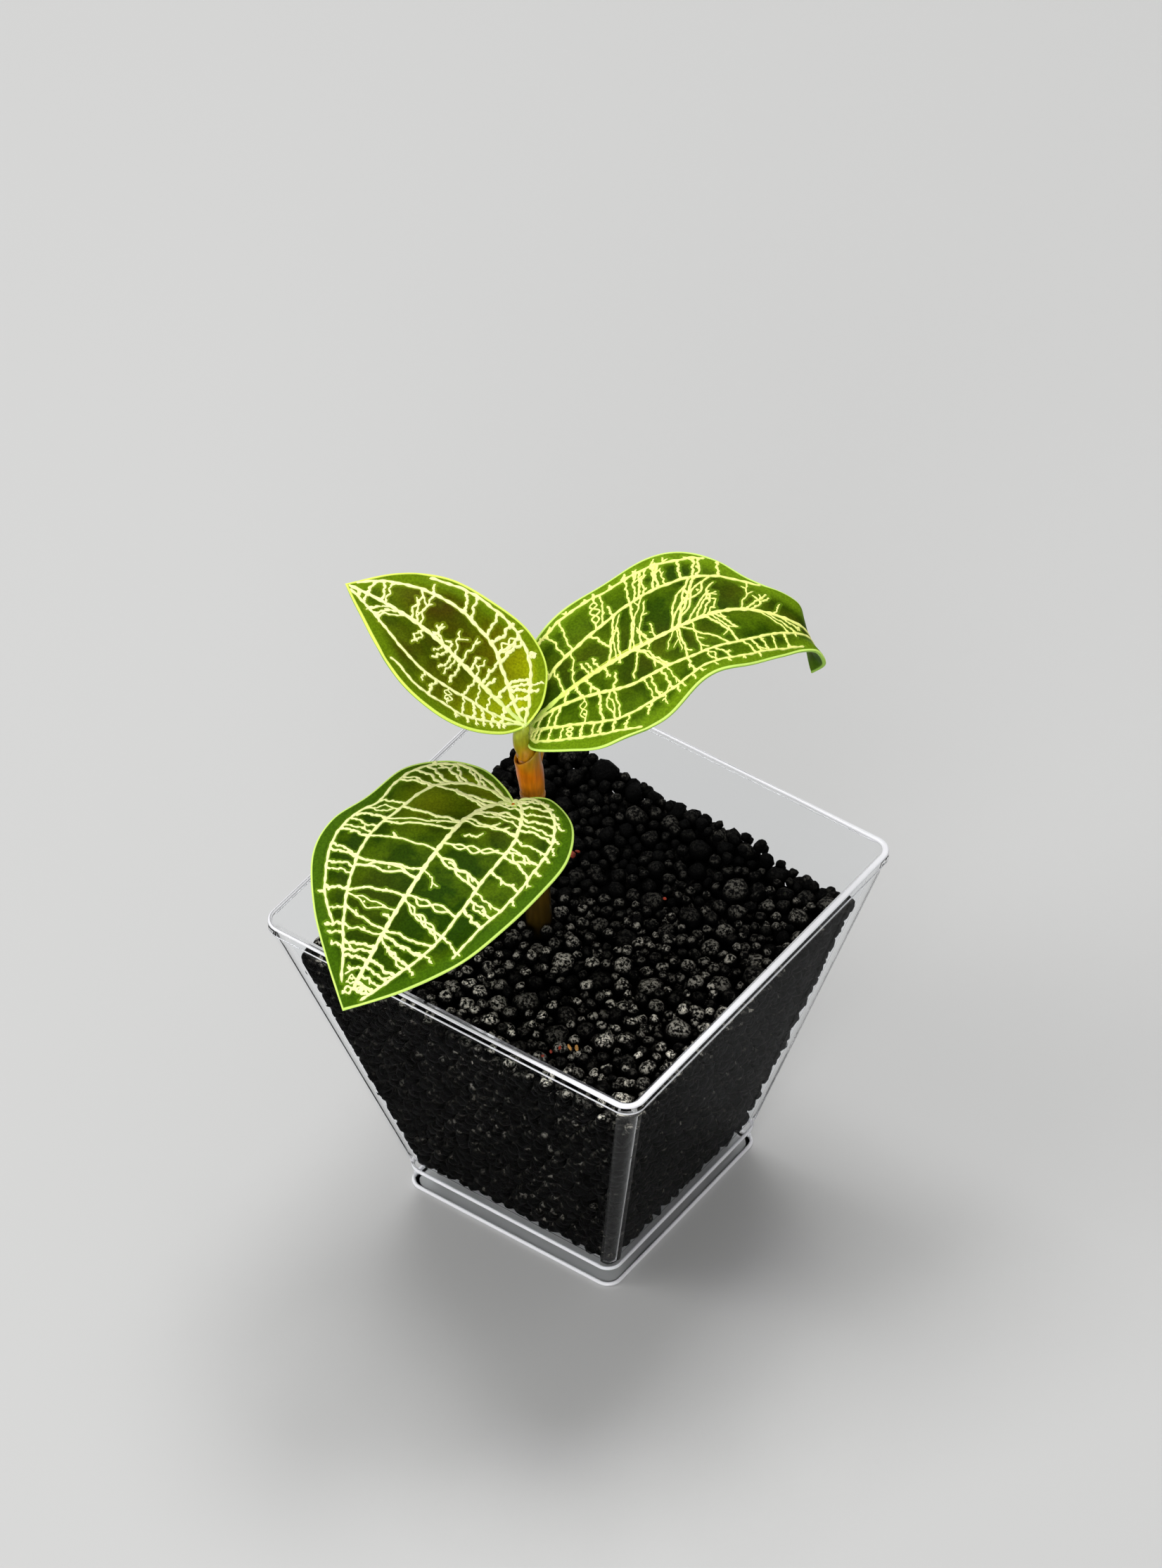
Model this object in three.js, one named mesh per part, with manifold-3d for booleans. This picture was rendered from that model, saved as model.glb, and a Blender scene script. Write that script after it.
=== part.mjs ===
// Jewel orchid (Macodes) with three leaves, growing in black granules in a clear square pot.
// Units are millimetres, +Z is up, and the origin is the centre of the pot's underside.
import * as THREE from 'three';
import Module from 'manifold-3d';

const wasm = await Module();
wasm.setup();

// ---------------------------------------------------------------- driving dimensions

const GAP = 0.3; // between pieces that touch on the real plant

const POT_HEIGHT = 62;
const RIM_SIDE = 70; // outside of the rim
const RIM_BAND = 1.4; // width of the rim's flat top
const RIM_LIP_HEIGHT = 1.8;
const RIM_LIP_OUT = 0.4; // how far the lip stands out from the wall
const RIM_CORNER = 3.2;
const WALL = 1.0;
const FOOT_SIDE = 39.5;
const FOOT_HEIGHT = 4;
const FOOT_CORNER = 2.2;
const CORNER_STEPS = 5;

const SOIL_TOP = 52.6; // mean level of the granules
const GRAIN_RISE = 0.9; // crest of a grain above the mean level
const GRAIN_DIP = 0.8; // bottom of the gaps between grains
const SIDE_RELIEF = 1.1; // depth of the grain relief against the walls
const SOIL_CELLS = 32; // grid cells along each side of the top, two for each grain
const SOIL_ROWS = 18; // grid rows down the sides, two for each grain

const STEM_SIDES = 12;
const STEM_TOP = 88.5;
const STEM_FOOT = 40; // the buried end, in the granules
// the stem's axis, from its buried end to its top
const STEM_AXIS = [
  [-6.3, -2.0, STEM_FOOT],
  [-6.3, -2.2, 53],
  [-6.2, -3.2, 80],
  [-6.3, -4.2, STEM_TOP],
];
// height and radius: the stem is thinner inside the leaf sheaths, and has a swollen node below
// each of them
const STEM_PROFILE = [
  [STEM_FOOT, 1.9],
  [52, 2.0],
  [66, 1.9],
  [68, 2.2],
  [69.2, 2.2],
  [69.6, 1.4],
  [77.6, 1.4],
  [78, 1.9],
  [80.2, 2.2],
  [81, 2.2],
  [81.4, 1.4],
  [STEM_TOP, 1.4],
];

const CROWN_RADIUS = 2.3;
const CROWN_LENGTH = 8;
const ROOT_COUNT = 4;
const ROOT_RADIUS = 1.0;
const ROOT_REACH = 11;
const ROOT_DROP = 19;

const BLADE = 0.8; // thickness of a leaf blade
const BLADE_ROWS = 24; // from the base to the tip
const BLADE_CELLS = 5; // from the midrib to the margin
const FOLD_ROUNDING = 1.5; // the fold along the midrib is rounded over this width
const SPINE_STEP = 0.25; // step of the sum that bends a midrib

// Each leaf is drawn flat and then bent. The flat drawing has u along the leaf and v across it,
// with +v on the right hand when looking from the base to the tip, and it gives the midrib and
// the outlines of both halves, from the base to the tip. course says how the leaf runs:
// distance u, compass heading, pitch and roll, in degrees. fold lifts both halves along the
// midrib, cup is the rise 10 mm out from it, and wave is the height, first crest and length
// of the margin's undulation, 14 mm out. petiole is the leaf stalk's axis up to the blade's base,
// and sheath the height and radius of its tube round the stem.

const LEFT_LEAF = {
  base: [-5.9, -4.9, 95.9],
  length: 36.5,
  course: [
    [0, 179, 18, 1.5],
    [12, 179, 29, 1.5],
    [24, 179, 14, 1.5],
    [36.5, 179, -7, 1.5],
  ],
  fold: 14,
  cup: 0,
  wave: [0, 0, 20],
  midrib: [[0, 0], [12, 0], [24, 0], [36.5, 0]],
  right: [[0, 0], [0.8, 5], [4.5, 9.8], [10.5, 11.8], [17.5, 11], [24.5, 9.3], [31, 5.3], [36.5, 0]],
  left: [[0, 0], [1.5, -4.5], [5.5, -8.8], [11, -11.3], [17.5, -11.7], [24, -8.9], [30.5, -4.5], [36.5, 0]],
  petiole: [[-6.5, -4.2, STEM_TOP + GAP], [-6.5, -4.2, 89.6], [-7.3, -4.85, 91], [-7.4, -5.1, 92.8],
    [-7, -5.2, 94.2]],
  petioleRadius: [1.25, 1.25, 1.1, 1.0, 0.95],
  sheath: null, // its stalk stands on the stem's top
};

const RIGHT_LEAF = {
  base: [-7.4, -2.7, 92.7],
  length: 58,
  course: [
    [0, 67, 44, -1],
    [8, 63, 30, -1],
    [17, 58, 22, -1],
    [26, 54, 16, 0],
    [34, 47, 0, 0],
    [42, 38, -25, 0],
    [48, 34, -46, 0],
    [52, 53, -78, 2],
    [58, 80, -104, 7],
  ],
  fold: 1,
  cup: 0,
  wave: [0.85, 30.5, 20.5],
  midrib: [[0, 0], [14, 0], [28, 0.2], [38, -0.8], [48, -0.4], [58, 0]],
  right: [[0, 0], [-1.2, 2.9], [2.9, 9], [9, 14.6], [17.5, 15.6], [27, 13.8], [36.5, 11.8], [44, 8.2],
    [49, 4.4], [54, 3], [58, 0]],
  left: [[0, 0], [-0.8, -3], [2.5, -7.6], [9.5, -11.2], [18, -14.2], [27, -14.7], [34.5, -12.8],
    [40, -8], [47.5, -5], [54, -2], [58, 0]],
  petiole: [[-5.4, -2.8, 86], [-4.9, -1.9, 88.8], [-5.1, -1.6, 90.6], [-6, -1.7, 91.6]],
  petioleRadius: [1.0, 1.0, 0.95, 0.95],
  sheath: [[81.8, 2.3], [85.5, 2.35], [89, 2.45]],
};

const HEART_LEAF = {
  base: [-9.9, -7.3, 84],
  length: 46,
  course: [
    [0, -86, 0, -1.5],
    [15, -86, -6, -1.5],
    [31, -86, -22, -1.5],
    [46, -86, -36, -1.5],
  ],
  fold: -2,
  cup: -0.2,
  wave: [0, 0, 20],
  midrib: [[2.7, -5.1], [3.7, -3.1], [6.6, -1], [12, 0.2], [24, 0.1], [35, 0], [46, 0]],
  right: [[2.7, -5.1], [0.4, -1.6], [-1.4, 3.6], [-0.4, 9.4], [3.9, 14.4], [11.5, 16.1], [18, 18.5],
    [25, 17.7], [33, 12.7], [40, 6.2], [46, 0]],
  left: [[2.7, -5.1], [0.1, -6.3], [-0.9, -9.6], [2, -14.8], [8.4, -17.8], [16, -17.8], [24, -16.4],
    [32, -13.4], [39.5, -7.6], [46, 0]],
  petiole: [[-6.1, -4.7, 73.5], [-5.9, -6.2, 76.5], [-5.5, -8, 79.6], [-5, -9, 81.8]],
  petioleRadius: [1.2, 1.15, 1.1, 1.1],
  sheath: [[70, 2.3], [73.5, 2.3], [77, 2.4]],
};

const SHEATH_BORE = 1.75; // radius inside the sheaths, round the thin stretches of the stem

// ---------------------------------------------------------------- meshes and solids

function meshGeometry(points, triangles) {
  const geometry = new THREE.BufferGeometry();
  geometry.setAttribute('position', new THREE.Float32BufferAttribute(points.flatMap((p) => [p.x, p.y, p.z]), 3));
  geometry.setIndex(triangles.flat());
  geometry.computeVertexNormals();
  return geometry;
}

function toSolid(geometry) {
  return new wasm.Manifold(new wasm.Mesh({
    numProp: 3,
    vertProperties: new Float32Array(geometry.attributes.position.array),
    triVerts: new Uint32Array(geometry.index.array),
  }));
}

function fromSolid(solid) {
  const mesh = solid.getMesh();
  const geometry = new THREE.BufferGeometry();
  geometry.setAttribute('position', new THREE.BufferAttribute(new Float32Array(mesh.vertProperties), 3));
  geometry.setIndex(new THREE.BufferAttribute(new Uint32Array(mesh.triVerts), 1));
  geometry.computeVertexNormals();
  return geometry;
}

// A closed body through rings of equal length, each turning counterclockwise seen from the
// last ring, with a flat fan on the first ring and on the last.
function loft(rings) {
  const count = rings[0].length;
  const points = rings.flat();
  const triangles = [];
  for (let r = 0; r + 1 < rings.length; r += 1) {
    for (let k = 0; k < count; k += 1) {
      const a = r * count + k;
      const b = r * count + ((k + 1) % count);
      triangles.push([a, b, b + count], [a, b + count, a + count]);
    }
  }
  const centre = (ring) => ring.reduce((sum, p) => sum.add(p), new THREE.Vector3()).divideScalar(count);
  const first = points.push(centre(rings[0])) - 1;
  const last = points.push(centre(rings[rings.length - 1])) - 1;
  const start = (rings.length - 1) * count;
  for (let k = 0; k < count; k += 1) {
    const next = (k + 1) % count;
    triangles.push([first, next, k], [last, start + k, start + next]);
  }
  return meshGeometry(points, triangles);
}

// Rings of a round tube whose centre follows points and whose radius follows radii.
function tubeRings(points, radii, sides) {
  const side = new THREE.Vector3(1, 0, 0);
  return points.map((point, i) => {
    const from = points[Math.max(i - 1, 0)];
    const to = points[Math.min(i + 1, points.length - 1)];
    const along = to.clone().sub(from).normalize();
    const across = side.clone().addScaledVector(along, -side.dot(along)).normalize();
    const up = along.clone().cross(across);
    side.copy(across);
    return Array.from({ length: sides }, (_, k) => {
      const angle = (2 * Math.PI * k) / sides;
      return point.clone()
        .addScaledVector(across, radii[i] * Math.cos(angle))
        .addScaledVector(up, radii[i] * Math.sin(angle));
    });
  });
}

function tube(points, radii, sides) {
  return toSolid(loft(tubeRings(points, radii, sides)));
}

// The same with level rings, for a body that stands nearly upright.
function column(points, radii, sides) {
  return toSolid(loft(points.map((point, i) => Array.from({ length: sides }, (_, k) => {
    const angle = (2 * Math.PI * k) / sides;
    return point.clone().add(new THREE.Vector3(Math.cos(angle), Math.sin(angle), 0).multiplyScalar(radii[i]));
  }))));
}

const vector = (xyz) => new THREE.Vector3(...xyz);

// Numbers between 0 and 1 that are the same in every run.
function seededRandom(seed) {
  let state = seed;
  return () => {
    state = (state * 1664525 + 1013904223) % 4294967296;
    return state / 4294967296;
  };
}

// ---------------------------------------------------------------- pot

// The square of half size half with round corners, met by the ray through (x, y), which lies
// on the rim of the square from -1 to 1.
function roundedSquarePoint(x, y, half, radius) {
  const flat = half - radius;
  const cornerX = THREE.MathUtils.clamp(x * half, -flat, flat);
  const cornerY = THREE.MathUtils.clamp(y * half, -flat, flat);
  const out = new THREE.Vector2(x * half - cornerX, y * half - cornerY).setLength(radius);
  return new THREE.Vector2(cornerX + out.x, cornerY + out.y);
}

function roundedSquareRing(half, radius, z) {
  const ring = [];
  for (let corner = 0; corner < 4; corner += 1) {
    for (let step = 0; step <= CORNER_STEPS; step += 1) {
      const angle = (corner + step / CORNER_STEPS) * (Math.PI / 2);
      const centre = (corner + 0.5) * (Math.PI / 2);
      const flat = (half - radius) * Math.SQRT2;
      ring.push(new THREE.Vector3(
        flat * Math.cos(centre) + radius * Math.cos(angle),
        flat * Math.sin(centre) + radius * Math.sin(angle),
        z,
      ));
    }
  }
  return ring;
}

const rimHalf = RIM_SIDE / 2;
const footHalf = FOOT_SIDE / 2;
const lipBottom = POT_HEIGHT - RIM_LIP_HEIGHT;

// Half size of the wall's outside at height z.
function wallHalf(z) {
  const share = (z - FOOT_HEIGHT) / (lipBottom - FOOT_HEIGHT);
  return THREE.MathUtils.lerp(footHalf, rimHalf - RIM_LIP_OUT, share);
}

// Radius of the wall's upright corners, outside, at height z.
function wallCorner(z) {
  const share = (z - FOOT_HEIGHT) / (lipBottom - FOOT_HEIGHT);
  return THREE.MathUtils.lerp(FOOT_CORNER, RIM_CORNER - RIM_LIP_OUT, share);
}

// Half size of the wall's inside at height z.
function innerHalf(z) {
  const share = (z - FOOT_HEIGHT) / (POT_HEIGHT - FOOT_HEIGHT);
  return THREE.MathUtils.lerp(footHalf - WALL, rimHalf - RIM_BAND, share);
}

function makePot() {
  const outside = toSolid(loft([
    roundedSquareRing(footHalf, FOOT_CORNER, 0),
    roundedSquareRing(footHalf, FOOT_CORNER, FOOT_HEIGHT),
    roundedSquareRing(wallHalf(lipBottom), wallCorner(lipBottom), lipBottom),
    roundedSquareRing(rimHalf, RIM_CORNER, lipBottom + RIM_LIP_OUT),
    roundedSquareRing(rimHalf, RIM_CORNER, POT_HEIGHT),
  ]));
  const insideRing = (z) => roundedSquareRing(innerHalf(z), wallCorner(z) - WALL, z);
  const inside = toSolid(loft([insideRing(FOOT_HEIGHT), insideRing(POT_HEIGHT + 1)]));
  return fromSolid(outside.subtract(inside));
}

// ---------------------------------------------------------------- granules

// The two triangles of a grid cell, cut along the diagonal that runs from a grain's crest.
function grainCell(a, b, c, d, i, j) {
  return (i + j) % 2 === 0 ? [[a, b, c], [a, c, d]] : [[a, b, d], [b, c, d]];
}

// Every second grid point both ways is the crest of a grain; the points halfway are its
// flanks, and those between four grains are the gaps.
function grainHeight(i, j, random) {
  const crests = (i % 2) + (j % 2);
  const level = [-GRAIN_DIP, -0.1, GRAIN_RISE][crests];
  return level + (random() - 0.5) * 0.4;
}

function makeGranules(hole) {
  const random = seededRandom(7);
  const half = (z) => innerHalf(z) - GAP;
  const corner = (z) => wallCorner(z) - WALL;
  const points = [];
  const triangles = [];
  const around = 4 * SOIL_CELLS;
  const low = FOOT_HEIGHT + GAP;
  const high = SOIL_TOP - GRAIN_DIP;

  // the square's rim, counterclockwise from its corner (-1, -1)
  const rimPoint = (k) => {
    const edge = Math.floor(k / SOIL_CELLS) % 4;
    const along = (2 * (k % SOIL_CELLS)) / SOIL_CELLS - 1;
    return [[along, -1], [1, along], [-along, 1], [-1, -along]][edge];
  };

  // sides, row by row from the bottom
  for (let row = 0; row <= SOIL_ROWS; row += 1) {
    const z = THREE.MathUtils.lerp(low, high, row / SOIL_ROWS);
    for (let k = 0; k < around; k += 1) {
      const [x, y] = rimPoint(k);
      const crests = (k % 2) + (row % 2);
      const isEdge = row === 0 || row === SOIL_ROWS;
      const sink = isEdge ? SIDE_RELIEF / 2 : SIDE_RELIEF * (1 - crests / 2) * (0.7 + 0.3 * random());
      const p = roundedSquarePoint(x, y, half(z) - sink, Math.max(corner(z), 0.8));
      points.push(new THREE.Vector3(p.x, p.y, z));
    }
  }
  for (let row = 0; row < SOIL_ROWS; row += 1) {
    for (let k = 0; k < around; k += 1) {
      const next = (k + 1) % around;
      const a = row * around + k;
      const b = row * around + next;
      triangles.push(...grainCell(a, b, b + around, a + around, k, row));
    }
  }

  // bottom, a fan
  const bottom = points.push(new THREE.Vector3(0, 0, low)) - 1;
  for (let k = 0; k < around; k += 1) {
    triangles.push([bottom, (k + 1) % around, k]);
  }

  // top, a grid whose rim is the sides' last row
  const rimIndex = new Map();
  for (let k = 0; k < around; k += 1) {
    const [x, y] = rimPoint(k);
    const i = Math.round(((x + 1) / 2) * SOIL_CELLS);
    const j = Math.round(((y + 1) / 2) * SOIL_CELLS);
    rimIndex.set(`${i},${j}`, SOIL_ROWS * around + k);
  }
  const top = [];
  for (let j = 0; j <= SOIL_CELLS; j += 1) {
    for (let i = 0; i <= SOIL_CELLS; i += 1) {
      const rim = rimIndex.get(`${i},${j}`);
      if (rim !== undefined) {
        top.push(rim);
      } else {
        const x = (2 * i) / SOIL_CELLS - 1;
        const y = (2 * j) / SOIL_CELLS - 1;
        const reach = Math.max(Math.abs(x), Math.abs(y));
        const size = half(SOIL_TOP) - SIDE_RELIEF / 2;
        const p = reach > 0
          ? roundedSquarePoint(x / reach, y / reach, size, corner(SOIL_TOP)).multiplyScalar(reach)
          : new THREE.Vector2();
        const shift = () => (random() - 0.5) * 0.5;
        top.push(points.push(new THREE.Vector3(
          p.x + shift(),
          p.y + shift(),
          SOIL_TOP + grainHeight(i, j, random),
        )) - 1);
      }
    }
  }
  const width = SOIL_CELLS + 1;
  for (let j = 0; j < SOIL_CELLS; j += 1) {
    for (let i = 0; i < SOIL_CELLS; i += 1) {
      const a = j * width + i;
      const corners = [a, a + 1, a + 1 + width, a + width].map((index) => top[index]);
      triangles.push(...grainCell(...corners, i, j));
    }
  }
  return fromSolid(toSolid(meshGeometry(points, triangles)).subtract(hole));
}

// ---------------------------------------------------------------- stem and roots

const stemCurve = new THREE.CatmullRomCurve3(STEM_AXIS.map(vector));
const stemLine = stemCurve.getPoints(200);

// The axis point at height z, also a little above the stem's top.
function stemPoint(z) {
  const found = stemLine.findIndex((p) => p.z >= z - 1e-6);
  const next = found < 0 ? stemLine.length - 1 : Math.max(1, found);
  const a = stemLine[next - 1];
  const b = stemLine[next];
  return a.clone().lerp(b, (z - a.z) / (b.z - a.z));
}

function makeStem(grow) {
  const points = STEM_PROFILE.map(([z]) => stemPoint(z));
  const radii = STEM_PROFILE.map(([, radius]) => radius + grow);
  points[0].z -= grow;
  return column(points, radii, STEM_SIDES);
}

// The crown that the stem grew from, right below it, and fleshy roots spreading from it.
function makeRoots(grow) {
  const head = vector(STEM_AXIS[0]).setZ(STEM_FOOT - GAP + grow);
  const depths = [0, 0.3 * CROWN_LENGTH, 0.7 * CROWN_LENGTH, CROWN_LENGTH + 2 * grow];
  const crownPoints = depths.map((depth) => head.clone().setZ(head.z - depth));
  const crownRadii = [0.85, 1, 0.85, 0.4].map((share) => share * CROWN_RADIUS + grow);
  let solid = column(crownPoints.reverse(), crownRadii.reverse(), STEM_SIDES);
  for (let k = 0; k < ROOT_COUNT; k += 1) {
    const angle = (2 * Math.PI * (k + 0.3)) / ROOT_COUNT;
    const out = new THREE.Vector3(Math.cos(angle), Math.sin(angle), 0);
    const start = vector(STEM_AXIS[0]).setZ(STEM_FOOT - 0.4 * CROWN_LENGTH);
    const drop = ROOT_DROP * (1 - 0.1 * (k % 2));
    const bends = [[0, 0], [0.3, 0.15], [0.65, 0.45], [0.9, 0.8], [1, 1]];
    const path = bends.map(([reach, fall]) => start.clone()
      .addScaledVector(out, reach * ROOT_REACH)
      .setZ(start.z - fall * drop));
    const end = path[path.length - 1];
    end.addScaledVector(end.clone().sub(path[path.length - 2]).normalize(), grow);
    const radii = [1, 1, 0.9, 0.75, 0.5].map((share) => share * ROOT_RADIUS + grow);
    solid = solid.add(tube(path.reverse(), radii.reverse(), 6));
  }
  return solid;
}

// ---------------------------------------------------------------- leaves

// A smooth curve through the rows of a table, at x, in one column.
function tableValue(rows, column, x) {
  const last = rows.length - 1;
  const at = THREE.MathUtils.clamp(x, rows[0][0], rows[last][0]);
  const i = Math.min(Math.max(rows.findIndex((row) => row[0] >= at), 1), last) - 1;
  const slope = (k) => {
    const a = rows[Math.max(k - 1, 0)];
    const b = rows[Math.min(k + 1, last)];
    return (b[column] - a[column]) / (b[0] - a[0]);
  };
  const span = rows[i + 1][0] - rows[i][0];
  const s = (at - rows[i][0]) / span;
  const from = rows[i][column];
  const to = rows[i + 1][column];
  return from * (2 * s ** 3 - 3 * s ** 2 + 1) + to * (3 * s ** 2 - 2 * s ** 3)
    + span * (slope(i) * (s ** 3 - 2 * s ** 2 + s) + slope(i + 1) * (s ** 3 - s ** 2));
}

// Position, right-hand direction and upward direction of the bent midrib line, each
// SPINE_STEP from before the base to past the tip.
function bendSpine(leaf) {
  const first = -Math.ceil(8 / SPINE_STEP);
  const last = Math.ceil((leaf.length + 2) / SPINE_STEP);
  const rows = [];
  const place = new THREE.Vector3();
  let before = null;
  for (let k = first; k <= last; k += 1) {
    const u = k * SPINE_STEP;
    const [heading, pitch, roll] = [1, 2, 3].map((c) => THREE.MathUtils.degToRad(tableValue(leaf.course, c, u)));
    const along = new THREE.Vector3(
      Math.cos(pitch) * Math.cos(heading),
      Math.cos(pitch) * Math.sin(heading),
      Math.sin(pitch),
    );
    if (before) {
      place.addScaledVector(before.clone().add(along), SPINE_STEP / 2);
    }
    const level = new THREE.Vector3(Math.sin(heading), -Math.cos(heading), 0);
    const above = level.clone().cross(along);
    rows.push({
      place: place.clone(),
      across: level.clone().multiplyScalar(Math.cos(roll)).addScaledVector(above, Math.sin(roll)),
      up: above.clone().multiplyScalar(Math.cos(roll)).addScaledVector(level, -Math.sin(roll)),
    });
    before = along;
  }
  const shift = vector(leaf.base).sub(rows[-first].place);
  rows.forEach((row) => row.place.add(shift));
  return { first, rows };
}

// The leaf's middle surface in space above the flat point (u, v).
function leafPoint(leaf, u, v) {
  const { first, rows } = leaf.spine;
  const at = THREE.MathUtils.clamp(u / SPINE_STEP - first, 0, rows.length - 1.001);
  const i = Math.floor(at);
  const mix = (key) => rows[i][key].clone().lerp(rows[i + 1][key], at - i);
  const out = Math.abs(v);
  const fold = THREE.MathUtils.degToRad(leaf.fold);
  const [height, crest, length] = leaf.wave;
  const rise = Math.sin(fold) * (out - FOLD_ROUNDING * (1 - Math.exp(-out / FOLD_ROUNDING)))
    + leaf.cup * (out / 10) ** 2
    + height * Math.cos((2 * Math.PI * (u - crest)) / length) * (out / 14) ** 2;
  return mix('place').addScaledVector(mix('across'), v * Math.cos(fold)).addScaledVector(mix('up'), rise);
}

// The surface's upward unit normal at (u, v).
function leafNormal(leaf, u, v) {
  const step = 0.2;
  const along = leafPoint(leaf, u + step, v).sub(leafPoint(leaf, u - step, v));
  const across = leafPoint(leaf, u, v + step).sub(leafPoint(leaf, u, v - step));
  return across.cross(along).normalize();
}

const flatCurve = (points) => new THREE.SplineCurve(points.map(([u, v]) => new THREE.Vector2(u, v)));

// The blade: rows run from the midrib to both outlines, and lines of equal share of the
// half width run from the base to the tip, as the long veins do.
function makeBlade(leaf) {
  const curves = { midrib: flatCurve(leaf.midrib), right: flatCurve(leaf.right), left: flatCurve(leaf.left) };
  const points = [];
  const grid = [];
  for (let row = 0; row <= BLADE_ROWS; row += 1) {
    const along = row / BLADE_ROWS;
    const middle = curves.midrib.getPoint(along);
    const isEnd = row === 0 || row === BLADE_ROWS;
    const line = [];
    for (let cell = -BLADE_CELLS; cell <= BLADE_CELLS; cell += 1) {
      if (isEnd && cell > -BLADE_CELLS) {
        line.push(line[0]);
      } else {
        const share = Math.abs(cell) / BLADE_CELLS;
        const flat = middle.clone().lerp(curves[cell < 0 ? 'left' : 'right'].getPoint(along), share);
        const centre = leafPoint(leaf, flat.x, flat.y);
        const half = leafNormal(leaf, flat.x, flat.y).multiplyScalar(BLADE / 2);
        line.push(points.length);
        points.push(centre.clone().add(half), centre.clone().sub(half));
      }
    }
    grid.push(line);
  }
  const triangles = [];
  const face = (a, b, c) => {
    if (a !== b && b !== c && a !== c) {
      triangles.push([a, b, c], [c + 1, b + 1, a + 1]);
    }
  };
  const width = 2 * BLADE_CELLS;
  for (let row = 0; row < BLADE_ROWS; row += 1) {
    for (let cell = 0; cell < width; cell += 1) {
      const a = grid[row][cell];
      const b = grid[row][cell + 1];
      const c = grid[row + 1][cell + 1];
      const d = grid[row + 1][cell];
      if (cell < BLADE_CELLS) {
        face(a, b, c);
        face(a, c, d);
      } else {
        face(a, b, d);
        face(b, c, d);
      }
    }
    const [l0, l1] = [grid[row][0], grid[row + 1][0]];
    const [r0, r1] = [grid[row][width], grid[row + 1][width]];
    triangles.push([l0 + 1, l0, l1], [l0 + 1, l1, l1 + 1], [r0, r0 + 1, r1 + 1], [r0, r1 + 1, r1]);
  }
  return meshGeometry(points, triangles);
}

// The leaf stalk, which runs on below the blade as the midrib's keel.
function makePetiole(leaf) {
  const midrib = flatCurve(leaf.midrib);
  const keel = [[0.02, 0.8], [0.1, 0.62], [0.2, 0.5], [0.32, 0.4]];
  const keelPoints = keel.map(([share, radius]) => {
    const flat = midrib.getPoint(share);
    return leafPoint(leaf, flat.x, flat.y).addScaledVector(leafNormal(leaf, flat.x, flat.y), -radius);
  });
  const points = [...leaf.petiole.map(vector), ...keelPoints];
  const radii = [...leaf.petioleRadius, ...keel.map(([, radius]) => radius)];
  return tube(points, radii, 8);
}

function makeLeaf(leaf) {
  const bent = { ...leaf, spine: bendSpine(leaf) };
  const solid = toSolid(makeBlade(bent)).add(makePetiole(bent));
  if (!leaf.sheath) {
    return fromSolid(solid);
  }
  const sheath = column(leaf.sheath.map(([z]) => stemPoint(z)), leaf.sheath.map(([, radius]) => radius), STEM_SIDES);
  const ends = [leaf.sheath[0][0] - 1, leaf.sheath[leaf.sheath.length - 1][0] + 0.4];
  const bore = column(ends.map(stemPoint), [SHEATH_BORE, SHEATH_BORE], STEM_SIDES);
  return fromSolid(solid.add(sheath).subtract(bore));
}

// ---------------------------------------------------------------- assembly

const material = (color, roughness, options = {}) => new THREE.MeshStandardMaterial({
  color, roughness, metalness: 0, ...options,
});
const clearPlastic = material(0xdfe3ea, 0.08, { transparent: true, opacity: 0.25 });
const blackGranules = material(0x1c1b19, 0.75);
const stemSkin = material(0xb0762a, 0.45);
const rootSkin = material(0x9a8a66, 0.8);
const oliveBlade = material(0x6f8a22, 0.4);
const greenBlade = material(0x4d7d1c, 0.4);

const orchid = new THREE.Group();
const add = (name, geometry, finish) => {
  const mesh = new THREE.Mesh(geometry, finish);
  mesh.name = name;
  orchid.add(mesh);
};

add('pot', makePot(), clearPlastic);
add('granules', makeGranules(makeStem(GAP).add(makeRoots(GAP))), blackGranules);
add('roots', fromSolid(makeRoots(0)), rootSkin);
add('stem', fromSolid(makeStem(0)), stemSkin);
add('leaf_heart', makeLeaf(HEART_LEAF), greenBlade);
add('leaf_right', makeLeaf(RIGHT_LEAF), greenBlade);
add('leaf_left', makeLeaf(LEFT_LEAF), oliveBlade);

export default orchid;
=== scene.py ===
"""Jewel orchid in a clear square pot. Lengths are in millimetres until put() writes a mesh."""

import bmesh
import bpy
import numpy as np
from mathutils import Matrix


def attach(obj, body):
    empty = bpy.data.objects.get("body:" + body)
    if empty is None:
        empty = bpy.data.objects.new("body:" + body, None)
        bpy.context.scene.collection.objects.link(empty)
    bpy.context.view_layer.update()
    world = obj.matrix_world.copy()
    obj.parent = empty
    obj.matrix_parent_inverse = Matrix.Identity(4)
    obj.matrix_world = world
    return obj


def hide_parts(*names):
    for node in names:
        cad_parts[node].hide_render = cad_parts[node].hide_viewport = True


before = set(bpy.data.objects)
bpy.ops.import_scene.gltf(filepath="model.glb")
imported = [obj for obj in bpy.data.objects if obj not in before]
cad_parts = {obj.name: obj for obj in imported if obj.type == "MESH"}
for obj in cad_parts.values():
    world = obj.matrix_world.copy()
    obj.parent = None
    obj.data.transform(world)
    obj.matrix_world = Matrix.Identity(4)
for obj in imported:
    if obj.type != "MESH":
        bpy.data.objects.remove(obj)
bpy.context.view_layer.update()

MM = 0.001

# ---------------------------------------------------------------- camera, floor and light

AZIMUTH = 36.3115
ELEVATION = 44.2017
ROLL = -0.66887
DISTANCE = 1461.16
TARGET = (-50.347, 69.188, 0)
PICTURE_HEIGHT = 2230
FOCAL_PIXELS = 12591.46
FILM_WIDTH = 36
NEAREST_SEEN = 0.05  # metres


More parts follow.
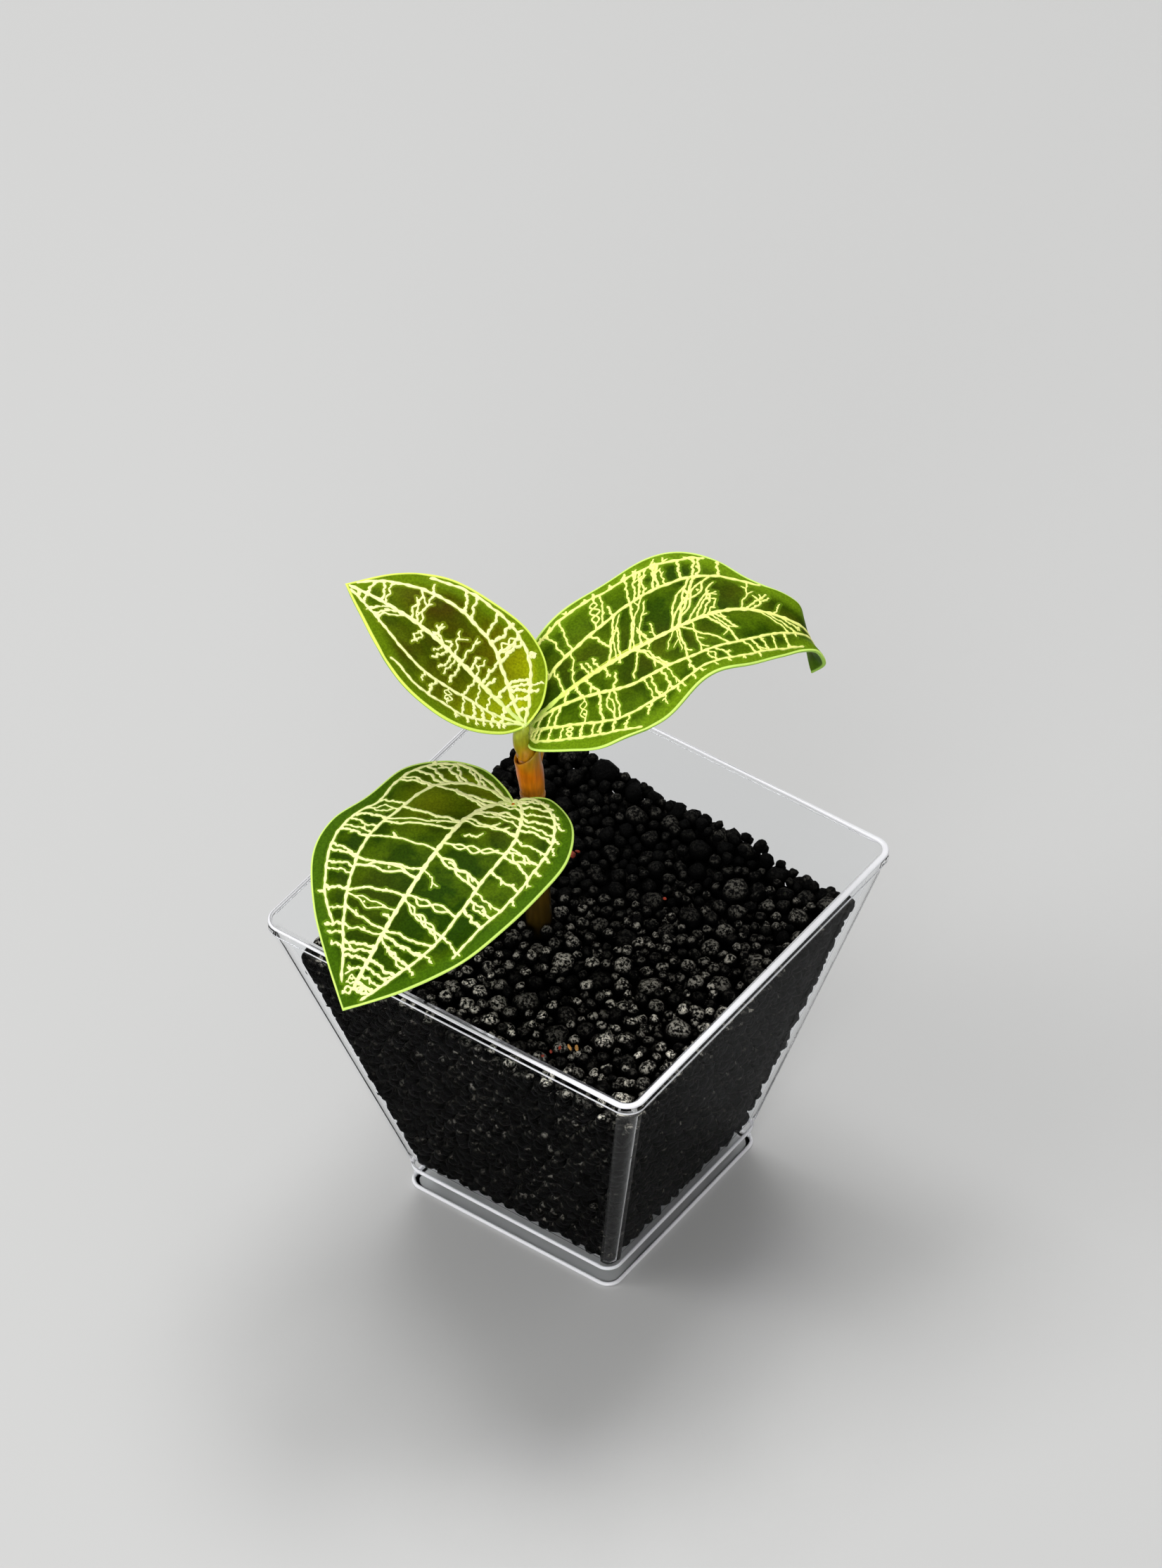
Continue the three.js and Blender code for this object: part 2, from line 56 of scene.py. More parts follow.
def stand(thing, right, up, back, place):
    """Puts a camera or a lamp at place, turned to its three directions."""
    axes = np.eye(4)
    axes[:3, 0], axes[:3, 1], axes[:3, 2], axes[:3, 3] = right, up, back, place
    thing.matrix_world = Matrix(axes.tolist())
    bpy.context.scene.collection.objects.link(thing)


def place_camera():
    """The camera stands DISTANCE from TARGET, turned by azimuth, elevation and roll."""
    turn, lift, roll = np.radians([AZIMUTH, ELEVATION, ROLL])
    back = np.array([np.sin(turn) * np.cos(lift), -np.cos(turn) * np.cos(lift), np.sin(lift)])
    level = np.array([np.cos(turn), np.sin(turn), 0.0])
    tilted = np.cross(back, level)
    right = np.cos(roll) * level + np.sin(roll) * tilted
    up = np.cos(roll) * tilted - np.sin(roll) * level
    place = (np.array(TARGET) + DISTANCE * back) * MM
    data = bpy.data.cameras.new("camera")
    data.sensor_width = FILM_WIDTH
    data.lens = FOCAL_PIXELS * FILM_WIDTH / PICTURE_HEIGHT
    data.clip_start = NEAREST_SEEN
    camera = bpy.data.objects.new("camera", data)
    stand(camera, right, up, back, place)
    bpy.context.scene.camera = camera


def place_light(name, place, aim, size, power):
    """A square soft light of that size and power at place, facing aim."""
    data = bpy.data.lights.new(name, "AREA")
    data.energy = power
    data.size = size
    back = np.array(place, float) - np.array(aim, float)
    back /= np.linalg.norm(back)
    right = np.cross([0.0, 0.0, 1.0], back)
    right /= np.linalg.norm(right)
    stand(bpy.data.objects.new(name, data), right, np.cross(back, right), back, place)


# ---------------------------------------------------------------- meshes

WELD = 2e-8  # points closer than this, in metres, become one


def put(name, points, faces, finishes, slot, stands_for=(), marks=None, values=None, smooth=True):
    """Writes points and faces as one piece in metres, welds what coincides and faces it
    outwards. marks gives each face its finish, and values are numbers kept at each point."""
    mesh = bpy.data.meshes.new(name)
    mesh.from_pydata((np.asarray(points) * MM).tolist(), [], faces)
    for coat in finishes:
        mesh.materials.append(coat)
    if marks is not None:
        mesh.polygons.foreach_set("material_index", np.asarray(marks, np.int32))
    for key, numbers in (values or {}).items():
        store = mesh.attributes.new(key, "FLOAT", "POINT")
        store.data.foreach_set("value", np.asarray(numbers, np.float32))
    shape = bmesh.new()
    shape.from_mesh(mesh)
    bmesh.ops.remove_doubles(shape, verts=shape.verts, dist=WELD)
    bmesh.ops.recalc_face_normals(shape, faces=shape.faces)
    shape.to_mesh(mesh)
    shape.free()
    mesh.polygons.foreach_set("use_smooth", np.full(len(mesh.polygons), smooth))
    piece = bpy.data.objects.new(name, mesh)
    bpy.context.scene.collection.objects.link(piece)
    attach(piece, "root")
    if stands_for:
        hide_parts(*stands_for)
    return piece


def sheet_faces(rows, columns, closed=False):
    """Four-sided faces between neighbours on a grid of rows by columns, whose columns join
    up round the piece when closed."""
    row, column = np.mgrid[0:rows - 1, 0:columns if closed else columns - 1]
    after = (column + 1) % columns
    corners = [row * columns + column, row * columns + after,
               (row + 1) * columns + after, (row + 1) * columns + column]
    return np.stack([c.ravel() for c in corners], 1)


def ring_body(rings):
    """A closed body over rings of equal length (rows, columns, 3), with a flat face on the
    first ring and on the last."""
    rows, columns = rings.shape[:2]
    faces = sheet_faces(rows, columns, closed=True).tolist()
    faces.append(list(range(columns))[::-1])
    faces.append(list(range((rows - 1) * columns, rows * columns)))
    return rings.reshape(-1, 3), faces


def ring_loop(rings):
    """A body that closes on itself both round its rings and from the last ring to the first."""
    rows, columns = rings.shape[:2]
    last = (rows - 1) * columns + np.arange(columns)
    first = np.arange(columns)
    closing = np.stack([last, np.roll(last, -1), np.roll(first, -1), first], 1)
    faces = np.concatenate([sheet_faces(rows, columns, closed=True), closing])
    return rings.reshape(-1, 3), faces.tolist()


def smooth_line(points, count):
    """A Catmull-Rom curve through the points, at count even steps of its parameter."""
    line = np.asarray(points, float)
    last = len(line) - 1
    at = np.linspace(0, last, count)
    i = np.minimum(at.astype(int), last - 1)
    w = (at - i)[:, None]
    before, start, end, after = (line[np.clip(i + k, 0, last)] for k in (-1, 0, 1, 2))
    from_start, from_end = (end - before) / 2, (after - start) / 2
    return ((2 * start - 2 * end + from_start + from_end) * w**3
            + (3 * end - 3 * start - 2 * from_start - from_end) * w**2 + from_start * w + start)


def full_turn(steps):
    """Even angles once round."""
    return np.linspace(0, 2 * np.pi, steps, endpoint=False)


def unit(vectors):
    """Each vector divided by its length."""
    return vectors / np.maximum(np.linalg.norm(vectors, axis=-1, keepdims=True), 1e-12)


def tube(path, radii, side, rows=60, columns=24):
    """Round rings square to a smooth path, level with the direction side, whose radius
    follows radii."""
    line = smooth_line(path, rows)
    radius = smooth_line(np.asarray(radii, float)[:, None], rows)
    along = unit(np.gradient(line, axis=0))
    across = unit(side - along * (along @ side)[:, None])
    over = np.cross(along, across)
    angle = full_turn(columns)
    return (line[:, None] + (radius * np.cos(angle))[..., None] * across[:, None]
            + (radius * np.sin(angle))[..., None] * over[:, None])


def joined(bodies):
    """Several bodies (points, faces) as one."""
    points, faces, count = [], [], 0
    for body_points, body_faces in bodies:
        points.append(body_points)
        faces += [[index + count for index in face] for face in body_faces]
        count += len(body_points)
    return np.concatenate(points), faces


# ---------------------------------------------------------------- finishes


def srgb(red, green, blue):
    """A screen colour from 0 to 255 as the linear colour that the shader takes."""
    c = np.array([red, green, blue]) / 255
    linear = np.where(c <= 0.04045, c / 12.92, ((c + 0.055) / 1.055) ** 2.4)
    return (*linear.tolist(), 1.0)


def make(tree, kind, inputs=(), **settings):
    """A node with its settings, whose inputs are linked to sockets or set to plain values."""
    made = tree.nodes.new(kind)
    for key, value in settings.items():
        setattr(made, key, value)
    for key, value in dict(inputs).items():
        if isinstance(value, bpy.types.NodeSocket):
            tree.links.new(value, made.inputs[key])
        else:
            made.inputs[key].default_value = value
    return made


def mix(tree, share, first, second, mode="MIX"):
    """first turned into second by share."""
    return make(tree, "ShaderNodeMix", {0: share, 6: first, 7: second}, data_type="RGBA",
                blend_type=mode).outputs[2]


def spread(tree, value, low, high, to_low=0.0, to_high=1.0, ease="SMOOTHSTEP"):
    """value carried from low..high to to_low..to_high and held there."""
    return make(tree, "ShaderNodeMapRange", {"Value": value, "From Min": low, "From Max": high,
                "To Min": to_low, "To Max": to_high}, interpolation_type=ease).outputs[0]


def sums(tree, kind, first, second, clamp=False):
    """Two values added, multiplied and so on, and held between 0 and 1 if asked."""
    return make(tree, "ShaderNodeMath", {0: first, 1: second}, operation=kind,
                use_clamp=clamp).outputs[0]


def grey(tree, value):
    """A grey as bright as value."""
    return make(tree, "ShaderNodeCombineColor", {part: value for part in range(3)}).outputs[0]


def drive(tree, shader, key, value):
    """value, which changes over the surface, feeds that input of the shader."""
    tree.links.new(value, shader.inputs[key])


def stored(tree, name):
    """A number kept at each point of the piece."""
    return make(tree, "ShaderNodeAttribute", attribute_name=name).outputs["Fac"]


def mottle(tree, size, detail=2.0, roughness=0.5):
    """Cloudy noise from 0 to 1 in the piece's own coordinates, with patches of that size."""
    place = make(tree, "ShaderNodeTexCoord").outputs["Object"]
    return make(tree, "ShaderNodeTexNoise", {"Vector": place, "Scale": 1 / (size * MM),
                "Detail": detail, "Roughness": roughness}).outputs["Fac"]


def pebbles(tree, size):
    """Distance to the middle of the nearest of many cells of that size, from 0 up."""
    place = make(tree, "ShaderNodeTexCoord").outputs["Object"]
    return make(tree, "ShaderNodeTexVoronoi", {"Vector": place,
                "Scale": 1 / (size * MM)}).outputs[0]


def finish(name, **plain):
    """A material with one Principled shader and its plain values."""
    material = bpy.data.materials.new(name)
    material.use_nodes = True
    shader = material.node_tree.nodes["Principled BSDF"]
    for key, value in plain.items():
        shader.inputs[key.replace("_", " ")].default_value = value
    return material, material.node_tree, shader


def relief(tree, shader, height, strength, depth):
    """Height drives the normal, depth in millimetres."""
    bump = make(tree, "ShaderNodeBump", {"Height": height, "Strength": strength,
                "Distance": depth * MM})
    drive(tree, shader, "Normal", bump.outputs["Normal"])


def new_group(name, inputs, outputs):
    """An empty node group with colour or value sockets."""
    group = bpy.data.node_groups.new(name, "ShaderNodeTree")
    for key, kind in inputs:
        group.interface.new_socket(key, in_out="INPUT", socket_type=kind)
    for key, kind in outputs:
        group.interface.new_socket(key, in_out="OUTPUT", socket_type=kind)
    given, out = group.nodes.new("NodeGroupInput"), group.nodes.new("NodeGroupOutput")
    return group, given.outputs, out.inputs


COLOUR, VALUE = "NodeSocketColor", "NodeSocketFloat"


def leaf_group():
    """The colour and the fine cells of a blade's upper face. Clouds of a deep and a lighter green,
    deeper in patches (painted shade at the heart leaf's tip), bronze where the blade is bronzed, yellow in
    patches (the leaf's own colour, but painted light near the heart leaf's base), a brighter band inside
    the margin, a bright halo along the veins and a pale line along the margin."""
    group, given, out = new_group(
        "leaf velvet",
        [("Deep", COLOUR), ("Light", COLOUR), ("Bronze", COLOUR), ("Yellow", COLOUR),
         ("Band", COLOUR), ("Halo", COLOUR), ("Margin", COLOUR)],
        [("Colour", COLOUR), ("Height", VALUE)])
    clouds = spread(group, mottle(group, 5, 4), 0.3, 0.7)
    # deep patches pull the clouds to the deep green; at the heart leaf's tip this is painted shade
    clouds = sums(group, "SUBTRACT", clouds, stored(group, "deep"), clamp=True)
    colour = mix(group, clouds, given["Deep"], given["Light"])
    patchy = spread(group, mottle(group, 3.5, 2), 0.3, 0.6, 0.6, 1)
    bronzed = sums(group, "MULTIPLY", stored(group, "bronze"), patchy)
    colour = mix(group, bronzed, colour, given["Bronze"])
    # yellow patches; near the heart leaf's base they are painted light
    colour = mix(group, stored(group, "yellow"), colour, given["Yellow"])
    band = spread(group, stored(group, "edge"), 3.2, 1.2, 0, 0.85)
    colour = mix(group, band, colour, given["Band"])
    halo = spread(group, stored(group, "vein"), 0.55, 0.3, 0, 0.4)
    colour = mix(group, halo, colour, given["Halo"])
    speckle = mottle(group, 0.35, 2, 0.6)
    shade = grey(group, spread(group, speckle, 0.3, 0.7, 0.8, 1.2))
    colour = mix(group, 1.0, colour, shade, "MULTIPLY")
    margin = spread(group, stored(group, "edge"), 0.42, 0.22)
    colour = mix(group, margin, colour, given["Margin"])
    group.links.new(colour, out["Colour"])
    group.links.new(sums(group, "ADD", speckle, pebbles(group, 0.3)), out["Height"])
    return group


def leaf_finish(name, group, colours):
    """A velvety blade: the leaf group's colour and its fine cells as relief."""
    material, tree, shader = finish(name, Roughness=0.42, IOR=1.06)
    used = make(tree, "ShaderNodeGroup", node_tree=group)
    for key, value in colours.items():
        used.inputs[key].default_value = srgb(*value)
    drive(tree, shader, "Base Color", used.outputs["Colour"])
    relief(tree, shader, used.outputs["Height"], 0.35, 0.06)
    return material


def underside_finish(name, dark, light):
    """The duller back of a blade, clouded between two greens."""
    material, tree, shader = finish(name, Roughness=0.5, Specular_IOR_Level=0.1)
    clouds = spread(tree, mottle(tree, 2.5, 4), 0.35, 0.65)
    colour = mix(tree, clouds, srgb(*dark), srgb(*light))
    colour = mix(tree, stored(tree, "bronze"), colour, srgb(104, 62, 20))
    rim = spread(tree, stored(tree, "edge"), 0.5, 0.25)
    colour = mix(tree, rim, colour, srgb(150, 190, 80))
    drive(tree, shader, "Base Color", colour)
    relief(tree, shader, mottle(tree, 0.4, 2), 0.3, 0.06)
    return material


def vein_finish(name, pale, green):
    """Pale gold veins, greener where they start and at their edges."""
    material, tree, shader = finish(name, Roughness=0.45, Specular_IOR_Level=0.15)
    fleck = spread(tree, mottle(tree, 0.7, 2), 0.35, 0.65, 0, 0.18)
    colour = mix(tree, fleck, srgb(*pale), srgb(*green))
    colour = mix(tree, spread(tree, stored(tree, "rim"), 0.55, 1.0, 0, 0.6), colour, srgb(*green))
    colour = mix(tree, stored(tree, "young"), colour, srgb(*green))
    drive(tree, shader, "Base Color", colour)
    relief(tree, shader, mottle(tree, 0.3, 2), 0.25, 0.05)
    return material


STEM_COLOURED = (0.050, 0.096)  # heights in metres between which the stem's colours lie
STEM_COLOURS = [  # share of the way up there, and the colour
    (0.0, (28, 22, 4)), (0.2, (66, 48, 8)), (0.45, (130, 88, 10)), (0.62, (196, 130, 10)),
    (0.78, (192, 102, 1)), (0.86, (168, 118, 10)), (0.91, (150, 142, 22)), (1.0, (176, 190, 58))]
STEM_WANDER = 0.004  # how far, in metres, the colours stray up and down
STREAK_FINENESS = 1800  # streaks in a metre
STREAK_STRETCH = 0.12


def stem_finish():
    """Stem skin, coloured by height: dark olive brown at the granules, orange in the middle
    and yellow green at the top, with fine upright streaks."""
    material, tree, shader = finish("stem skin", Roughness=0.36, Specular_IOR_Level=0.25)
    place = make(tree, "ShaderNodeTexCoord").outputs["Object"]
    height = make(tree, "ShaderNodeSeparateXYZ", {0: place}).outputs["Z"]
    wander = sums(tree, "MULTIPLY", mottle(tree, 2.5, 3), STEM_WANDER)
    level = sums(tree, "SUBTRACT", sums(tree, "ADD", height, wander), STEM_WANDER / 2)
    share = spread(tree, level, *STEM_COLOURED, ease="LINEAR")
    ramp = make(tree, "ShaderNodeValToRGB", {0: share})
    bar = ramp.color_ramp
    for _ in STEM_COLOURS[2:]:
        bar.elements.new(0.5)
    for element, (at, colour) in zip(bar.elements, STEM_COLOURS):
        element.position = at
        element.color = srgb(*colour)
    stretched = make(tree, "ShaderNodeMapping", {"Vector": place,
                     "Scale": (1, 1, STREAK_STRETCH)}).outputs[0]
    streak = make(tree, "ShaderNodeTexNoise", {"Vector": stretched, "Scale": STREAK_FINENESS,
                  "Detail": 2}).outputs["Fac"]
    shade = grey(tree, spread(tree, streak, 0.3, 0.7, 0.78, 1.18))
    colour = mix(tree, 1.0, ramp.outputs[0], shade, "MULTIPLY")
    drive(tree, shader, "Base Color", colour)
    relief(tree, shader, streak, 0.3, 0.1)
    return material


def granule_finish():
    """Porous black granules: near black and pitted, with pale specks on their upward faces that
    are a painted highlight, as strong as each grain's worn share."""
    material, tree, shader = finish("black granules", Specular_IOR_Level=0.04)
    pits = mottle(tree, 0.5, 4, 0.65)
    face = make(tree, "ShaderNodeNewGeometry").outputs["Normal"]
    upward = spread(tree, make(tree, "ShaderNodeSeparateXYZ", {0: face}).outputs["Z"], 0.35, 0.85)
    specks = spread(tree, mottle(tree, 0.55, 3, 0.75), 0.455, 0.6)
    # painted highlight: pale specks on the upward faces, scaled by each grain's share
    speck_highlight = sums(tree, "MULTIPLY", sums(tree, "MULTIPLY", upward, specks), stored(tree, "worn"))
    colour = mix(tree, speck_highlight, srgb(2, 2, 2), srgb(255, 249, 232))
    drive(tree, shader, "Base Color", colour)
    drive(tree, shader, "Roughness", spread(tree, pits, 0.3, 0.7, 0.75, 0.5))
    relief(tree, shader, pits, 1.0, 0.4)
    return material


def scrap_finish(name, first, second):
    """A dull skin clouded between two colours, for crumbs and roots."""
    material, tree, shader = finish(name, Roughness=0.8)
    colour = mix(tree, spread(tree, mottle(tree, 0.6, 3), 0.35, 0.65), srgb(*first), srgb(*second))
    drive(tree, shader, "Base Color", colour)
    relief(tree, shader, mottle(tree, 0.4, 3), 0.6, 0.2)
    return material


def clear_finish(name, bending):
    """Clear moulded plastic, with faint flow marks and fine wear in its gloss."""
    material, tree, shader = finish(name, Transmission_Weight=1.0, IOR=bending,
                                    Base_Color=(0.97, 0.98, 0.99, 1))
    wear_and_highlight = spread(tree, mottle(tree, 1.5, 5, 0.7), 0.45, 0.8, 0.01, 0.06)
    drive(tree, shader, "Roughness", wear_and_highlight)
    relief(tree, shader, mottle(tree, 14, 3), 0.12, 0.5)
    return material


def edge_finish():
    """The same plastic, white and a little frosted: partly the light that thick plastic holds, partly a
    painted highlight along the rim, the lip line and the foot beads.
    """
    material, tree, shader = finish("plastic edge", Transmission_Weight=0.2, IOR=1.45,
                                    Base_Color=(0.97, 0.97, 1, 1))
    frost = spread(tree, mottle(tree, 2, 4), 0.35, 0.65, 0.12, 0.26)
    drive(tree, shader, "Roughness", frost)
    relief(tree, shader, mottle(tree, 5, 2), 0.15, 0.2)
    return material


# ---------------------------------------------------------------- leaves

LEAF_SLOTS = {"left": "leaf_olive", "right": "leaf_green", "heart": "leaf_green"}
SPINE_STEP = 0.25
SPINE_BEFORE, SPINE_AFTER = 8, 2  # how far the spine runs on past the base and the tip
FOLD_ROUNDING = 1.5
CUP_AT, WAVE_AT = 10, 14  # distance from the midrib at which the cup and the wave count in full
OUTLINE_STEPS = 1200
BLADE_HALF = 0.3  # half the thickness of a blade
RIM_ROUND = 0.35  # width of the rounding at its margin
PLEAT_DEPTH = 0.3  # how far a blade sinks along its long veins
PLEAT_WIDTH = 1.6

# Each leaf is drawn flat, u along it and v across it, as the outlines and the midrib, and then
# bent along its course of distance, heading, pitch and roll.
LEAVES = {
    "left": {
        "base": (-5.9, -4.9, 95.9), "length": 36.5, "fold": 14, "cup": 0, "wave": (0, 0, 20),
        "course": [(0, 179, 18, 1.5), (12, 179, 29, 1.5), (24, 179, 14, 1.5), (36.5, 179, -7, 1.5)],
        "middle": [(0, 0), (12, 0), (24, 0), (36.5, 0)],
        "right": [(0, 0), (.8, 5), (4.5, 9.8), (10.5, 11.8), (17.5, 11), (24.5, 9.3), (31, 5.3),
                  (36.5, 0)],
        "left": [(0, 0), (1.5, -4.5), (5.5, -8.8), (11, -11.3), (17.5, -11.7), (24, -8.9),
                 (30.5, -4.5), (36.5, 0)],
        "stalk": [(-6.5, -4.2, 88.8), (-6.55, -4.1, 89.6), (-7.2, -4.4, 91), (-7.2, -4.7, 92.8),
                  (-6.9, -5, 94.2)],
        "stalk_radius": [1.6, 1.6, 1.35, 1.25, 1.1],
    },
    "right": {
        "base": (-7.4, -2.7, 92.7), "length": 58, "fold": 1, "cup": 0, "wave": (.85, 30.5, 20.5),
        "course": [(0, 67, 44, -1), (8, 63, 30, -1), (17, 58, 22, -1), (26, 54, 16, 0),
                   (34, 47, 0, 0), (42, 39, -20, 0), (47, 37, -34, 0), (50, 50, -68, 3),
                   (58, 78, -100, 6)],
        "middle": [(0, 0), (14, 0), (28, .2), (38, -.8), (48, -.4), (58, 0)],
        "right": [(0, 0), (-1.7, 3.0), (2.9, 9), (9, 14.6), (17.5, 15.6), (27, 13.8), (36.5, 11.8),
                  (44, 8.2), (49, 4.4), (54, 3), (58, 0)],
        "left": [(0, 0), (-.8, -3), (2.5, -7.6), (9.5, -11.2), (18, -14.2), (27, -14.7),
                 (34.5, -12.8), (40, -8), (47.5, -5), (54, -2), (58, 0)],
        "stalk": [(-5.9, -3.3, 86), (-5.7, -2.6, 88.8), (-5.8, -2.1, 90.6), (-6.4, -1.9, 91.6)],
        "stalk_radius": [1.0, 1.0, 0.95, 0.95],
    },
    "heart": {
        "base": (-9.9, -7.3, 84), "length": 46, "fold": -2, "cup": -.2, "wave": (0, 0, 20),
        "course": [(0, -86, 0, -1.5), (15, -86, -6, -1.5), (31, -86, -22, -1.5), (46, -86, -36, -1.5)],
        "middle": [(2.7, -5.1), (3.7, -3.1), (6.6, -1), (12, .2), (24, .1), (35, 0), (46, 0)],
        "right": [(2.7, -5.1), (.4, -1.6), (-1.4, 3.6), (-.4, 9.4), (3.9, 14.4), (11.5, 16.1),
                  (18, 18.5), (25, 17.7), (33, 12.7), (40, 6.2), (46, 0)],
        "left": [(2.7, -5.1), (.1, -6.3), (-.9, -9.6), (2, -14.8), (8.4, -17.8), (16, -17.8),
                 (24, -16.4), (32, -13.4), (39.5, -7.6), (46, 0)],
        "stalk": [(-6.1, -4.7, 73.5), (-5.9, -6.2, 76.5), (-5.5, -8, 79.6), (-5, -9, 81.8)],
        "stalk_radius": [1.2, 1.15, 1.1, 1.1],
    },
}

# Long veins: share along the leaf and share of the half width, plus on the right-hand half.
LANES = {
    "heart": {
        "middle": [(0, 0), (.93, 0)],
        "right inner": [(.04, 0), (.1, .1), (.2, .36), (.3, .5), (.4, .59), (.5, .62), (.6, .61),
                        (.7, .57), (.8, .56), (.93, .52)],
        "right outer": [(.08, .1), (.15, .42), (.22, .75), (.25, .9), (.3, .92), (.35, .93), (.4, .91),
                        (.45, .9), (.5, .86), (.55, .88), (.65, .87), (.7, .84), (.75, .83), (.78, .8),
                        (.82, .7)],
        "left inner": [(0, 0), (.1, -.25), (.2, -.4), (.3, -.44), (.4, -.48), (.5, -.51), (.6, -.515),
                       (.7, -.565), (.8, -.6), (.95, -.56)],
        "left outer": [(.02, -.2), (.08, -.55), (.2, -.76), (.3, -.8), (.5, -.81), (.6, -.835), (.7, -.82),
                       (.78, -.87)],
    },
    "right": {
        "middle": [(0, 0), (.1, .05), (.2, .06), (.3, .04), (.4, .02), (.5, 0), (.96, 0)],
        "left inner": [(0, 0), (.05, -.35), (.1, -.5), (.2, -.55), (.3, -.54), (.4, -.57), (.5, -.57),
                       (.6, -.615), (.65, -.68), (.7, -.84), (.72, -.93)],
        "left outer": [(.02, -.5), (.1, -.8), (.2, -.92), (.3, -.93), (.4, -.91), (.5, -.87), (.55, -.87),
                       (.6, -.95)],
        "right inner": [(0, 0), (.05, .15), (.1, .27), (.2, .36), (.3, .42), (.4, .43), (.5, .55),
                        (.6, .55), (.7, .45), (.8, .35), (.88, .3)],
        "right outer": [(0, .15), (.05, .5), (.1, .61), (.2, .69), (.3, .74), (.4, .72), (.5, .78),
                        (.6, .81), (.7, .81), (.78, .85)],
        "right edge": [(0, .4), (.05, .75), (.1, .83), (.2, .855), (.3, .87), (.37, .95)],
    },
    "left": {
        "middle": [(0, 0), (.3, .02), (.6, .04), (.97, 0)],
        "right inner": [(0, 0), (.1, .22), (.2, .33), (.3, .41), (.4, .5), (.5, .55), (.6, .617),
                        (.7, .62), (.8, .63), (.95, .68)],
        "right outer": [(.02, .3), (.1, .55), (.2, .68), (.3, .785), (.4, .845), (.5, .9), (.6, .93),
                        (.7, .9), (.75, .9)],
        "left inner": [(0, 0), (.05, -.2), (.1, -.33), (.2, -.42), (.3, -.42), (.4, -.475), (.5, -.53),
                       (.6, -.53), (.7, -.51), (.8, -.48), (.95, -.4)],
        "left outer": [(.02, -.3), (.1, -.49), (.2, -.65), (.3, -.75), (.4, -.765), (.5, -.815),
                       (.6, -.8), (.65, -.85)],
    },
}
MARGIN_LANES = {"right margin": [(0, .97), (1, .97)], "left margin": [(0, -.97), (1, -.97)]}

